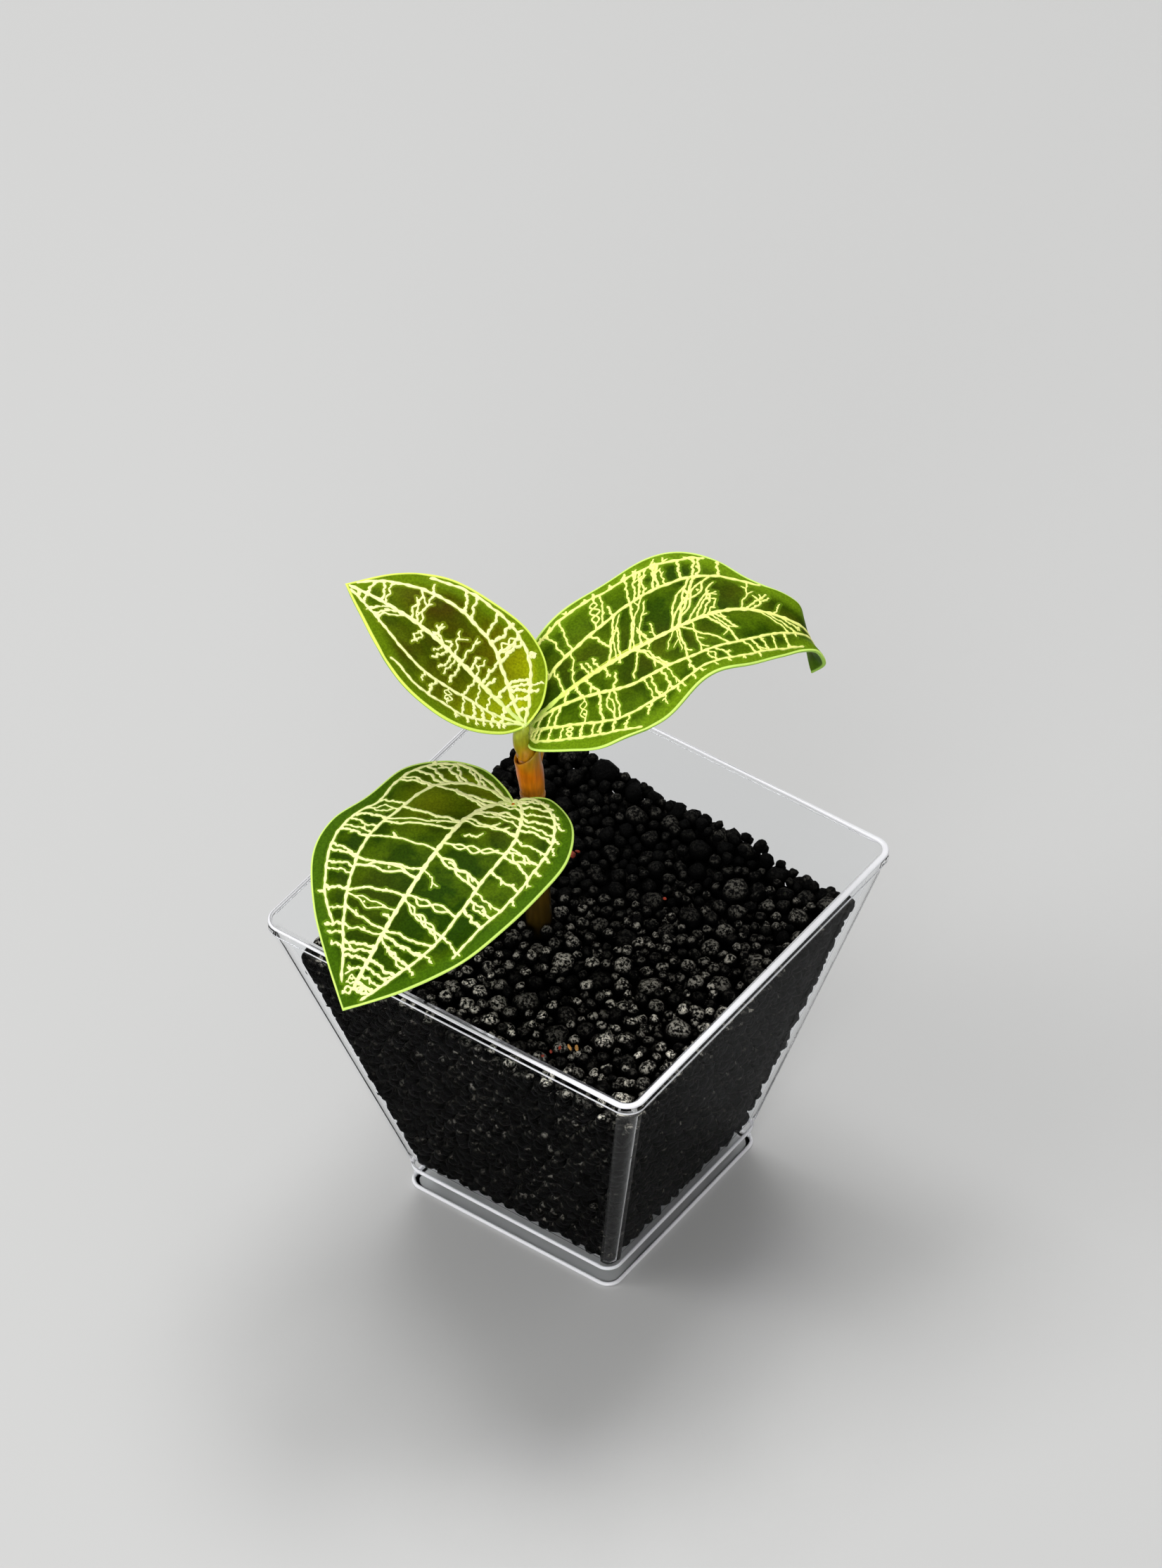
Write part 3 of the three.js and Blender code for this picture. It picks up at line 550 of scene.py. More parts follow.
# Cross veins between two long veins: where each starts and ends along the leaf, then, where it
# isn't whole, the share of the way at which it starts and stops. A letter asks for strands that
# part and meet again (l) or for side twigs (t).
RUNGS = {
    "heart": [
        ("middle", "right inner", [
            (.2, .38), (.27, .38, 0, .7), (.3, .37, 0, .7), (.455, .49), (.455, .54), (.49, .55),
            (.57, .6, "t"), (.62, .66), (.645, .68, "l"), (.695, .74), (.735, .745, "l"),
            (.76, .76, 0, .2), (.79, .77, "t"), (.8, .81), (.835, .845), (.85, .865, "t"), (.87, .875),
            (.885, .9, 0, .8, "t"), (.91, .93, 0, .8, "l"), (.93, .95, "l")]),
        ("right inner", "right outer", [
            (.22, .22), (.25, .26), (.29, .28), (.31, .32, "t"), (.34, .35), (.36, .38), (.385, .42),
            (.395, .43), (.48, .5), (.5, .53, "l"), (.54, .56), (.57, .575), (.59, .6), (.605, .61),
            (.655, .655), (.66, .67), (.685, .7), (.7, .715), (.735, .75), (.775, .79)]),
        ("right inner", "right margin", [(.81, .83, 0, .75), (.83, .845, 0, .7), (.86, .86, 0, .6)]),
        ("right outer", "right margin", [(.27, .28, 0, .6), (.33, .33, 0, .6), (.76, .77, 0, .5)]),
        ("middle", "left inner", [
            (.14, .2), (.17, .25), (.19, .29), (.33, .345), (.36, .35), (.38, .39), (.42, .43, "t"),
            (.44, .42), (.51, .45, .2, .45, "t"), (.545, .5, "l"), (.575, .615, "l"),
            (.59, .6, .3, 1, "t"), (.62, .7, 0, .4, "t"), (.69, .69, "l"), (.7, .745, "l"),
            (.71, .76, .35, 1), (.79, .775), (.8, .805, "t"), (.81, .85), (.82, .84, .2, 1), (.865, .87),
            (.88, .89, "t"), (.9, .905), (.915, .92), (.93, .93, "l")]),
        ("left inner", "left outer", [
            (.2, .2), (.23, .24), (.27, .28), (.31, .31), (.34, .35), (.37, .385), (.4, .41), (.44, .45),
            (.475, .49, "t"), (.49, .5, 0, .8, "l"), (.51, .535), (.56, .575), (.62, .635, "t"),
            (.64, .66, "l"), (.665, .69), (.745, .765, "t")]),
        ("left inner", "left margin", [(.8, .82, 0, .5), (.84, .86, 0, .5)]),
        ("left outer", "left margin", [
            (.23, .3, 0, .5), (.28, .35, 0, .45), (.33, .39, 0, .5), (.39, .43, 0, .4), (.42, .46, 0, .5),
            (.46, .5, 0, .35), (.51, .52, 0, .5), (.545, .56, 0, .35), (.6, .62, 0, .5)]),
    ],
    "right": [
        ("middle", "left inner", [
            (.13, .215), (.15, .265, .05, 1), (.19, .27, 0, .45, "t"), (.2, .27, 0, .4), (.215, .28, 0, .4),
            (.27, .31, .35, 1), (.235, .37), (.255, .39, 0, .92), (.265, .395, 0, .6, "t"), (.285, .41),
            (.295, .435, "t"), (.31, .45, 0, .85, "t"), (.315, .41, 0, .4), (.33, .4, 0, .3),
            (.345, .42, 0, .35), (.385, .535, "l"), (.4, .545, "t"), (.405, .58, "l"),
            (.43, .6, 0, .85, "t"), (.455, .62, 0, .6, "t"), (.475, .6, 0, .5), (.49, .62, 0, .4),
            (.6, .68, "t"), (.61, .75, 0, .7, "t"), (.63, .76, 0, .6, "t"), (.7, .76, 0, .5)]),
        ("left inner", "left outer", [
            (.1, .14), (.15, .2), (.2, .26), (.25, .3, "t"), (.27, .335), (.33, .4, "l"), (.345, .41),
            (.37, .42, 0, .4), (.41, .455), (.42, .47, "t"), (.43, .48, "t"), (.44, .49), (.46, .5, "t"),
            (.47, .51), (.485, .51, 0, .8), (.52, .545), (.54, .575, "t"), (.55, .585), (.6, .625)]),
        ("left outer", "left margin", [
            (.24, .25, 0, .7), (.29, .3, 0, .8), (.31, .33, 0, .6), (.35, .36, 0, .8), (.38, .4, 0, .6),
            (.4, .41, 0, .8), (.43, .44, 0, .6), (.45, .47, 0, .8), (.47, .48, 0, .6), (.5, .52, 0, .8),
            (.52, .53, 0, .7)]),
        ("middle", "right inner", [
            (.14, .15), (.155, .195), (.175, .24, "t"), (.225, .28, 0, .5), (.26, .3, 0, .2),
            (.26, .275, .45, 1, "t"), (.295, .4, "t"), (.3, .41), (.31, .325, .1, .9), (.33, .37, 0, .25),
            (.39, .4, 0, .6), (.395, .45, 0, .75, "t"), (.4, .46, "t"), (.405, .57), (.44, .5, "t"),
            (.48, .59), (.5, .6, 0, .7, "t"), (.51, .62, 0, .65), (.53, .6, 0, .4), (.65, .74),
            (.68, .77, "t"), (.72, .8, 0, .8)]),
        ("right inner", "right outer", [
            (.08, .09), (.12, .125), (.14, .145), (.2, .225, "l"), (.24, .27), (.265, .3, "l"),
            (.275, .31), (.345, .385, "t"), (.36, .4, "t"), (.385, .43, "t"), (.4, .45, "t"), (.46, .49),
            (.51, .54, "l"), (.53, .57, "t"), (.6, .635, "t"), (.62, .65, "t"), (.645, .67), (.68, .69),
            (.72, .73)]),
        ("right outer", "right edge", [
            (.05, .05), (.07, .07), (.09, .09), (.11, .11), (.14, .14), (.17, .17), (.19, .19, "l"),
            (.22, .22), (.25, .25), (.27, .27), (.3, .3), (.33, .33)]),
        ("right outer", "right margin", [
            (.38, .37, 0, .5), (.41, .43, 0, .6), (.44, .46, 0, .5), (.45, .48, 0, .6), (.48, .5, 0, .7),
            (.5, .52, 0, .5), (.53, .55, 0, .6), (.56, .58, 0, .5), (.6, .61, 0, .4), (.64, .65, 0, .5)]),
    ],
    "left": [
        ("middle", "right inner", [
            (.14, .17), (.195, .24), (.25, .3, 0, .6), (.27, .35), (.3, .4, 0, .6), (.335, .42, 0, .5),
            (.39, .46, 0, .8, "t"), (.425, .56, 0, .62, "t"), (.455, .6, .08, .24), (.5, .7, 0, .38, "t"),
            (.55, .62, 0, .14), (.625, .69), (.645, .735, "l"), (.67, .72, 0, .7, "t"), (.785, .83, "t"),
            (.8, .86), (.865, .88)]),
        ("right inner", "right outer", [
            (.12, .12), (.17, .18), (.22, .2), (.235, .23), (.245, .245), (.34, .39), (.375, .41),
            (.385, .42, "l"), (.43, .465), (.46, .52), (.535, .6), (.575, .635), (.695, .73, 0, .7)]),
        ("right outer", "right margin", [
            (.2, .2, 0, .6), (.22, .22, 0, .8), (.335, .34, 0, .7, "l"), (.43, .435, 0, .6),
            (.46, .47, 0, .5)]),
        ("middle", "left inner", [
            (.15, .15), (.215, .22), (.275, .27), (.3, .34), (.385, .41, 0, .8, "t"), (.415, .47, 0, .7),
            (.44, .5, 0, .65), (.465, .55, 0, .55), (.49, .6, 0, .35), (.6, .62, 0, .65, "l"),
            (.7, .79, "t"), (.73, .8), (.76, .83, "t"), (.86, .86), (.9, .9)]),
        ("left inner", "left outer", [
            (.15, .15), (.2, .19), (.245, .23), (.28, .27), (.33, .32), (.4, .385, 0, .9, "l"),
            (.455, .47), (.51, .51, 0, .6)]),
        ("left outer", "left margin", [
            (s, s - .01, 0, .6) for s in (.14, .17, .2, .23, .26, .3, .345)]),
    ],
}

# Patches of another colour: place along and across, size along the leaf in shares, strength.
BRONZE = {
    "heart": [(.42, .3, .14, .2), (.38, -.25, .12, .45), (.25, -.55, .12, .5), (.75, .3, .12, .3)],
    "right": [(.25, -.3, .12, .35), (.36, .2, .1, .4), (.62, -.3, .1, .5), (.78, 0, .1, .5),
              (.47, .3, .08, .35), (1, 0, .03, 1)],
    "left": [(.42, .35, .18, 1), (.66, .5, .15, 1), (.55, .2, .14, .8), (.3, .45, .1, .7),
             (.42, -.4, .14, .8), (.62, -.45, .12, .75)],
}
DEEP = {
    # heart: the patch at its tip is painted shade
    "heart": [(.9, 0, .3, 1), (.55, .95, .25, .7)],
    "right": [(.1, -.3, .1, .7), (.45, -.25, .1, .6), (.3, .1, .08, .5), (.93, 0, .1, .6)],
    "left": [(.5, .1, .12, .4), (.92, 0, .18, .6)],
}
YELLOW = {
    # heart: the two patches near its base are painted light over the shade of the leaves above
    "heart": [(.12, -.6, .16, .3), (.12, .5, .22, .4), (.44, .42, .08, .25)],
    "right": [],
    "left": [(.05, .7, .2, .85), (.1, 0, .14, .5), (.12, -.8, .18, .75), (.28, .97, .15, .55)],
}


def table_value(rows, column, x):
    """A smooth curve through a table's rows: cubic pieces whose slope at a row is that
    between its two neighbours."""
    table = np.array(rows, float)
    at_rows, values = table[:, 0], table[:, column]
    last = len(table) - 1
    high, low = np.minimum(np.arange(last + 1) + 1, last), np.maximum(np.arange(last + 1) - 1, 0)
    slopes = (values[high] - values[low]) / (at_rows[high] - at_rows[low])
    at = np.clip(x, at_rows[0], at_rows[-1])
    i = np.clip(np.searchsorted(at_rows, at) - 1, 0, last - 1)
    span = at_rows[i + 1] - at_rows[i]
    s = (at - at_rows[i]) / span
    return (values[i] * (2 * s**3 - 3 * s**2 + 1) + values[i + 1] * (3 * s**2 - 2 * s**3)
            + span * (slopes[i] * (s**3 - 2 * s**2 + s) + slopes[i + 1] * (s**3 - s**2)))


def bend_spine(leaf):
    """Adds up short steps along the course, and keeps place, right-hand and upward direction
    at each step."""
    first = -int(SPINE_BEFORE / SPINE_STEP)
    last = int(np.ceil((leaf["length"] + SPINE_AFTER) / SPINE_STEP))
    u = np.arange(first, last + 1) * SPINE_STEP
    heading, pitch, roll = (np.radians(table_value(leaf["course"], k, u)) for k in (1, 2, 3))
    along = np.stack([np.cos(pitch) * np.cos(heading), np.cos(pitch) * np.sin(heading),
                      np.sin(pitch)], 1)
    steps = (along[1:] + along[:-1]) / 2 * SPINE_STEP
    place = np.concatenate([[np.zeros(3)], np.cumsum(steps, axis=0)])
    place += np.array(leaf["base"]) - place[-first]
    level = np.stack([np.sin(heading), -np.cos(heading), 0 * heading], 1)
    above = np.cross(level, along)
    turn, rise = np.cos(roll)[:, None], np.sin(roll)[:, None]
    leaf["spine"] = u, place, level * turn + above * rise, above * turn - level * rise


def leaf_middle(leaf, flat):
    """The blade's middle surface above flat points: across the spine by v, and up by the
    fold, the cup and the wave."""
    at, place, across, up = leaf["spine"]
    u, v = flat[..., 0], flat[..., 1]
    pick = lambda rows: np.stack([np.interp(u, at, rows[:, k]) for k in range(3)], -1)
    out, fold = np.abs(v), np.radians(leaf["fold"])
    height, crest, length = leaf["wave"]
    rise = (np.sin(fold) * (out - FOLD_ROUNDING * (1 - np.exp(-out / FOLD_ROUNDING)))
            + leaf["cup"] * (out / CUP_AT)**2
            + height * np.cos(2 * np.pi * (u - crest) / length) * (out / WAVE_AT)**2)
    return pick(place) + pick(across) * (v * np.cos(fold))[..., None] + pick(up) * rise[..., None]


def leaf_normal(leaf, flat):
    """The unit normal of the middle surface, from its slopes along and across."""
    step = 0.2
    along = leaf_middle(leaf, flat + [step, 0]) - leaf_middle(leaf, flat - [step, 0])
    across = leaf_middle(leaf, flat + [0, step]) - leaf_middle(leaf, flat - [0, step])
    return unit(np.cross(across, along))


def outline_point(points, s):
    """A Catmull-Rom curve through flat points, at shares s of its parameter."""
    line = smooth_line(points, OUTLINE_STEPS + 1)
    at = np.clip(s, 0, 1) * OUTLINE_STEPS
    return np.stack([np.interp(at, np.arange(OUTLINE_STEPS + 1), line[:, k]) for k in range(2)], -1)


def flat_point(leaf, s, t):
    """The flat point at share s along the leaf and share t from the midrib to an outline."""
    s, t = np.broadcast_arrays(np.asarray(s, float), np.asarray(t, float))
    middle = outline_point(leaf["middle"], s)
    right, left = outline_point(leaf["right"], s), outline_point(leaf["left"], s)
    outline = np.where((t >= 0)[..., None], right, left)
    return middle + np.abs(t)[..., None] * (outline - middle)


def nearest(points, marks):
    """Distance from each flat point to the nearest of the marks, worked out in blocks of a
    few thousand points to save memory."""
    points, marks = (each.reshape(-1, 2).astype(np.float32) for each in (points, marks))
    squares = [((block[:, None] - marks[None])**2).sum(-1).min(1)
               for block in np.array_split(points, max(1, len(points) // 2000))]
    return np.sqrt(np.concatenate(squares))


def lane_share(leaf_name, lane, s):
    """Share of the half width at which a long vein lies at s."""
    rows = {**LANES[leaf_name], **MARGIN_LANES}[lane]
    return table_value(rows, 1, s)


def pleated(leaf, flat):
    """Depth of the furrows along the long veins: a bell curve of the distance to them."""
    distance = nearest(flat, leaf["lanes"]).reshape(flat.shape[:-1])
    return -PLEAT_DEPTH * np.exp(-(distance / PLEAT_WIDTH)**2)


def blade_top(leaf, flat, raised):
    """The blade's upper face above flat points, raised by a small height."""
    height = BLADE_HALF + pleated(leaf, flat) + raised
    return leaf_middle(leaf, flat) + leaf_normal(leaf, flat) * height[..., None]


# ---------------------------------------------------------------- veins

LANE_STEPS = 170
RUNG_STEPS = 30
FINENESS = {"heart": 0.9, "right": 0.78, "left": 0.9}  # of the cross veins
# section of a vein: share of its half width, and height above the blade
VEIN_SECTION = np.array([(-1, -0.05), (-0.62, 0.08), (0, 0.13), (0.62, 0.08), (1, -0.05), (0, -0.16)])
SLIM_VEIN = 0.22  # half width below which a vein also gets lower
RUNG_BOW = 0.09  # of its length
RUNG_STRAY = (0.55, 0.13)  # at most, and of its length
RUNG_WIDTHS = (0.2, 0.34)  # half widths
LOOP_GAPS = (0.5, 0.8)  # between the middle of a loop and each of its strands
BEADING = 0.2  # how much the beads widen and narrow a vein
FREE_END = 0.35  # length of the round end
FLARE, FLARE_LENGTH = 0.55, 0.45
LONG_BEADS, CROSS_BEADS = 2.2, 1.1  # distance between the beads along a vein
# twigs of a cross vein that asks for them and of one that doesn't: their number (from the first
# up to, not with, the second), the first step that may carry one, and their length
TWIGS = {"t": ((1, 3), RUNG_STEPS // 2, (0.8, 1.9)), "": ((0, 3), 4, (0.35, 0.8))}


def wiggle(random, count, steps, waves, height):
    """Smooth random swings: a few sine waves of random phase along each path."""
    at = np.linspace(0, 1, steps)
    total = np.zeros((count, steps))
    for wave in waves:
        phase = random.uniform(0, 2 * np.pi, (count, 1))
        size = random.uniform(0.4, 1, (count, 1))
        total += size * np.sin(2 * np.pi * wave * at + phase)
    return height * total / len(waves)


def sideways(paths):
    """Unit vectors square to each flat path, to its left."""
    along = unit(np.gradient(paths, axis=1))
    return np.stack([-along[..., 1], along[..., 0]], -1)


def read_rung(row):
    """Where a cross vein starts and ends along the leaf, the shares of its way at which it
    starts and stops, and its style."""
    style = "".join(part for part in row if isinstance(part, str))
    numbers = [part for part in row if not isinstance(part, str)]
    return (*numbers[:2], *(numbers[2:] or (0, 1)), style)


def twig_path(random, path, first, lengths):
    """A twig leaves the path to its left or right at a slant and curls: root plus reach times w
    plus curl times w squared."""
    root = random.integers(first, RUNG_STEPS - 4)
    ahead = path[root + 1] - path[root - 1]
    ahead /= np.linalg.norm(ahead)
    slant = random.choice([-1, 1]) * random.uniform(0.5, 0.95)
    turn = np.array([[np.cos(slant), -np.sin(slant)], [np.sin(slant), np.cos(slant)]])
    reach = turn @ ahead * random.uniform(*lengths)
    curl = np.array([-reach[1], reach[0]]) * random.uniform(-0.3, 0.3)
    w = np.linspace(0, 1, RUNG_STEPS)[:, None]
    return path[root] + reach * w + curl * w**2


def rung_paths(leaf, name, random):
    """Flat paths of the cross veins, their half widths, and whether each end is free. A rung
    runs evenly from its place on one long vein to its place on the other, bowed a little, and
    a loop is two strands pushed apart."""
    paths, widths, ends = [], [], []
    at = np.linspace(0, 1, RUNG_STEPS)
    fine = FINENESS[name]

    def keep(path, width, free_start, free_end):
        paths.append(path)
        widths.append(np.full(RUNG_STEPS, width))
        ends.append((free_start, free_end))

    for first, second, rows in RUNGS[name]:
        for s_from, s_to, begin, end, style in map(read_rung, rows):
            w = begin + (end - begin) * at
            t_from, t_to = lane_share(name, first, s_from), lane_share(name, second, s_to)
            start, stop = flat_point(leaf, [s_from, s_to], [t_from, t_to])
            way = stop - start
            span = np.linalg.norm(way)
            square = np.array([-way[1], way[0]]) / max(span, 1e-6)
            bow = random.uniform(-RUNG_BOW, RUNG_BOW) * span * fine**2
            stray = min(RUNG_STRAY[0], RUNG_STRAY[1] * span) * fine**2
            swing = wiggle(random, 1, RUNG_STEPS, (1, 1.7, 2.8), stray)[0]
            swing += wiggle(random, 1, RUNG_STEPS, (4.2, 6.3), 0.09)[0]
            hold = np.minimum(1, 5 * np.minimum(w, 1 - w) + 0.25 * (w > 0.95) * (end < 1))
            path = start + way * w[:, None]
            path += square * ((bow * 4 * w * (1 - w)) + swing * hold)[:, None]
            width = random.uniform(*RUNG_WIDTHS) * (0.88 if end < 1 else 1) * fine
            if "l" in style:
                part = np.clip((at - 0.15) / 0.7, 0, 1)
                cells = random.choice([1, 2, 3] if span > 6 else [1, 2])
                lens = np.sin(np.pi * part)**0.5 * np.sin(np.pi * cells * part)
                gap = random.uniform(*LOOP_GAPS) * lens
                keep(path + square * gap[:, None], 0.85 * width, begin > 0, end < 1)
                keep(path - square * gap[:, None], 0.85 * width, begin > 0, end < 1)
            else:
                keep(path, width, begin > 0, end < 1)
            number, first_step, lengths = TWIGS["t" if "t" in style else ""]
            for _ in range(random.integers(*number)):
                keep(twig_path(random, path, first_step, lengths), 0.8 * width, False, True)
    return np.array(paths), np.array(widths), np.array(ends)


def shaped_widths(random, paths, widths, ends, bead):
    """Half widths with beads along the way, a flare where a vein joins another, and a round
    end where it is free."""
    lengths = np.linalg.norm(np.diff(paths, axis=1), axis=2)
    run = np.concatenate([np.zeros((len(paths), 1)), np.cumsum(lengths, axis=1)], axis=1)
    total = run[:, -1:]
    waves = total / bead
    phase = random.uniform(0, 2 * np.pi, (len(paths), 2))
    beads = (np.sin(2 * np.pi * run / total * waves + phase[:, :1])
             + 0.7 * np.sin(2 * np.pi * run / total * waves * 1.7 + phase[:, 1:]))
    shaped = widths * (1 + BEADING * beads)
    for to_end, free in ((run, ends[:, :1]), (total - run, ends[:, 1:])):
        round_end = np.sqrt(np.clip(1 - (1 - np.minimum(to_end / FREE_END, 1))**2, 0.03, 1))
        flare = 1 + FLARE * np.exp(-(to_end / FLARE_LENGTH)**2)
        shaped = shaped * np.where(free, round_end, flare)
    return shaped


def ribbons(leaf, paths, widths):
    """Low rounded strips on the blade. Each section point lies sideways of the path by its
    share of the half width, and above the blade's face by its height."""
    out, height = VEIN_SECTION.T
    side = sideways(paths)
    flat = paths[:, :, None] + side[:, :, None] * (widths[..., None] * out)[..., None]
    slim = np.minimum(widths / SLIM_VEIN, 1)[..., None]
    rings = blade_top(leaf, flat, np.where(height > 0, height * slim, height))
    count, rows, columns = rings.shape[:3]
    _, one = ring_body(rings[0])
    faces = [[index + k * rows * columns for index in face] for k in range(count) for face in one]
    rim = np.broadcast_to(np.abs(out), rings.shape[:3])
    return rings.reshape(-1, 3), faces, rim.ravel()


# half width of a long vein at its base and at its tip, and how far it strays sideways
LANE_WIDTHS = {"middle": (0.52, 0.36, 0.1), "inner": (0.38, 0.27, 0.16),
               "outer": (0.32, 0.24, 0.24), "edge": (0.28, 0.22, 0.12)}


def lane_paths(leaf, name, random):
    """Flat paths of the long veins, their half widths, which thin from base to tip, and how
    green they are, which fades from the base."""
    paths, widths, young = [], [], []
    for lane, rows in LANES[name].items():
        s = np.linspace(rows[0][0], rows[-1][0], LANE_STEPS)
        path = flat_point(leaf, s, lane_share(name, lane, s))
        start, stop, stray = LANE_WIDTHS[lane.split()[-1]]
        swing = wiggle(random, 1, LANE_STEPS, (3, 6, 10, 17), stray)
        path = path + sideways(path[None])[0] * swing[0][:, None]
        paths.append(path)
        widths.append(start + (stop - start) * s)
        young.append(np.clip(1 - s / 0.3, 0, 1) * (0.9 if lane == "middle" else 0.45))
    return np.array(paths), np.array(widths), np.array(young)


def grow_veins(leaf, name, random, skin):
    """All the veins of one leaf as one piece."""
    long_paths, long_widths, young = lane_paths(leaf, name, random)
    free = np.tile([[False, True]], (len(long_paths), 1))
    long_widths = shaped_widths(random, long_paths, long_widths, free, LONG_BEADS)
    paths, widths, ends = rung_paths(leaf, name, random)
    widths = shaped_widths(random, paths, widths, ends, CROSS_BEADS)
    leaf["veins"] = np.concatenate([long_paths.reshape(-1, 2), paths.reshape(-1, 2)])
    *long_body, long_rim = ribbons(leaf, long_paths, long_widths)
    *cross_body, cross_rim = ribbons(leaf, paths, widths)
    green = np.concatenate([np.repeat(young.ravel(), len(VEIN_SECTION)), 0 * cross_rim])
    put("veins_" + name, *joined([long_body, cross_body]), [skin], LEAF_SLOTS[name],
        values={"rim": np.concatenate([long_rim, cross_rim]), "young": green})


# ---------------------------------------------------------------- blades

BLADE_STEPS = 170  # from the base to the tip
HALF_STEPS = 52  # from the midrib to the rounding of the margin
ROUND_STEPS = np.array([0.45, 0.15, 0.03, 0.0])  # shares of the rounding that is left
END_EASE = 0.35  # how much closer the cross lines lie near the base and the tip


def patches(rows, s, t):
    """Soft round patches, each a bell curve of the distance in the leaf's shares. Where they
    meet, the strongest counts."""
    total = np.zeros_like(s)
    for at_s, at_t, size, strength in rows:
        distance = (s - at_s)**2 + (0.3 * (t - at_t))**2
        total = np.maximum(total, strength * np.exp(-distance / size**2))
    return total


def grow_blade(leaf, name, skins):
    """The blade as one closed sheet. Lines of equal share run from base to tip on the upper
    and the lower face and meet in a round margin: the half thickness is that of a quarter
    circle near the margin and constant inside it."""
    s = np.linspace(0, 1, BLADE_STEPS + 1)[:, None]
    s = 0.5 - 0.5 * np.cos(np.pi * s) * END_EASE - 0.5 * (1 - 2 * s) * (1 - END_EASE)
    middle = outline_point(leaf["middle"], s[:, 0])
    shares = np.linspace(0, 1, HALF_STEPS + 1)
    halves = {}
    for side in ("left", "right"):
        reach = np.linalg.norm(outline_point(leaf[side], s[:, 0]) - middle, axis=1)[:, None]
        rim = np.minimum(RIM_ROUND, 0.5 * reach)
        inner = 1 - rim / np.maximum(reach, 1e-9)
        t = np.concatenate([shares * inner, 1 - (1 - inner) * ROUND_STEPS], axis=1)
        depth = np.minimum((1 - t) * reach / RIM_ROUND, 1)
        halves[side] = t, np.sqrt(np.clip(1 - (1 - depth)**2, 0, 1))
    t = np.concatenate([-halves["left"][0][:, ::-1], halves["right"][0][:, 1:]], axis=1)
    full = np.concatenate([halves["left"][1][:, ::-1], halves["right"][1][:, 1:]], axis=1)
    s = np.broadcast_to(s, t.shape)
    flat = flat_point(leaf, s, t)
    normal = leaf_normal(leaf, flat)
    centre = leaf_middle(leaf, flat) + normal * (pleated(leaf, flat) * full)[..., None]
    half = normal * (BLADE_HALF * full)[..., None]
    columns = t.shape[1]
    loop = np.concatenate([centre + half, (centre - half)[:, -2:0:-1]], axis=1)
    around = lambda values: np.concatenate([values, values[:, -2:0:-1]], axis=1).ravel()
    faces = sheet_faces(*loop.shape[:2], closed=True)
    under = np.tile(np.arange(loop.shape[1]) >= columns - 2, BLADE_STEPS).astype(int)
    outline = np.concatenate([outline_point(leaf[side], np.linspace(0, 1, 500))
                              for side in ("left", "right")])
    values = {
        "edge": nearest(flat, outline).reshape(t.shape),
        "vein": nearest(flat, leaf["veins"]).reshape(t.shape),
        "bronze": patches(BRONZE[name], s, t),
        "deep": patches(DEEP[name], s, t),
        "yellow": patches(YELLOW[name], s, t),
    }
    put("blade_" + name, loop.reshape(-1, 3), faces.tolist(), skins, LEAF_SLOTS[name],
        stands_for=["leaf_" + name], marks=under, values={k: around(v) for k, v in values.items()})


# the keel under a blade: share along the midrib, and radius
KEEL = [(0.02, 0.8), (0.1, 0.62), (0.2, 0.5), (0.32, 0.4), (0.5, 0.3)]


def grow_stalk(leaf, name, skin):
    """The leaf stalk: round rings along its line, which runs on below the blade as a keel
    under the midrib and thins out there."""
    share, radius = np.array(KEEL).T
    flat = outline_point(leaf["middle"], share)
    below = leaf_middle(leaf, flat) - leaf_normal(leaf, flat) * (radius * 0.9)[:, None]
    heading = np.radians(leaf["course"][0][1])
    side = np.array([np.sin(heading), -np.cos(heading), 0.0])
    rings = tube([*leaf["stalk"], *below], [*leaf["stalk_radius"], *radius], side, rows=90)
    put("stalk_" + name, *ring_body(rings), [skin], LEAF_SLOTS[name], stands_for=["leaf_" + name])


# ---------------------------------------------------------------- stem, sheaths and roots

STEM_AXIS = [(-6.3, -2.0, 40), (-6.3, -2.2, 53), (-6.25, -3.2, 80), (-6.45, -4.25, 88.5)]
# height and radius of the stem, with the swollen nodes below the two sheaths
STEM_PROFILE = np.array([
    (40, 1.8), (46, 2.05), (52, 2.05), (60, 1.95), (65.5, 1.95), (67.2, 2.15), (68.3, 2.3), (69.1, 2.2),
    (69.6, 1.45), (73, 1.4), (77.6, 1.4), (78, 1.75), (79.3, 1.8), (80.3, 2.0), (80.9, 2.0), (81.3, 1.45),
    (85, 1.4), (88.5, 1.4)])
# each sheath's lowest and highest points, radii at the bottom, halfway and at the mouth, how
# much the mouth slants, and the heading of its higher side
SHEATHS = {
    "right": {"low": 81.15, "high": 91.3, "radii": (1.9, 2.12, 2.04), "slant": 3.2, "heading": 45},
    "heart": {"low": 69.45, "high": 77.6, "radii": (2.22, 2.3, 2.35), "slant": 1.2, "heading": -85},
}
SHEATH_BORE = 1.62
STEM_STEPS, ROUND_STEM = 260, 36  # rings up the stem, and points round it
ROOT_START = np.array([-6.3, -2.0, 36.8])
ROOTS, ROOT_REACH, ROOT_DROP = 4, 11, 19
ROOT_LINE = ((0, 0), (.3, .15), (.65, .45), (.9, .8), (1, 1))  # shares of the reach and the drop


def stem_point(z):
    """The stem's axis at height z."""
    line = smooth_line(STEM_AXIS, 400)
    x, y = (np.interp(z, line[:, 2], line[:, k]) for k in (0, 1))
    return np.stack([x, y, z], -1)


def round_column(z, radius, columns=ROUND_STEM):
    """Level rings round the stem's axis; z and radius may change round each ring."""
    angle = full_turn(columns)
    z = np.broadcast_to(np.asarray(z, float), (len(z), columns))
    rings = stem_point(z)
    rings[..., 0] += radius * np.cos(angle)
    rings[..., 1] += radius * np.sin(angle)
    return rings


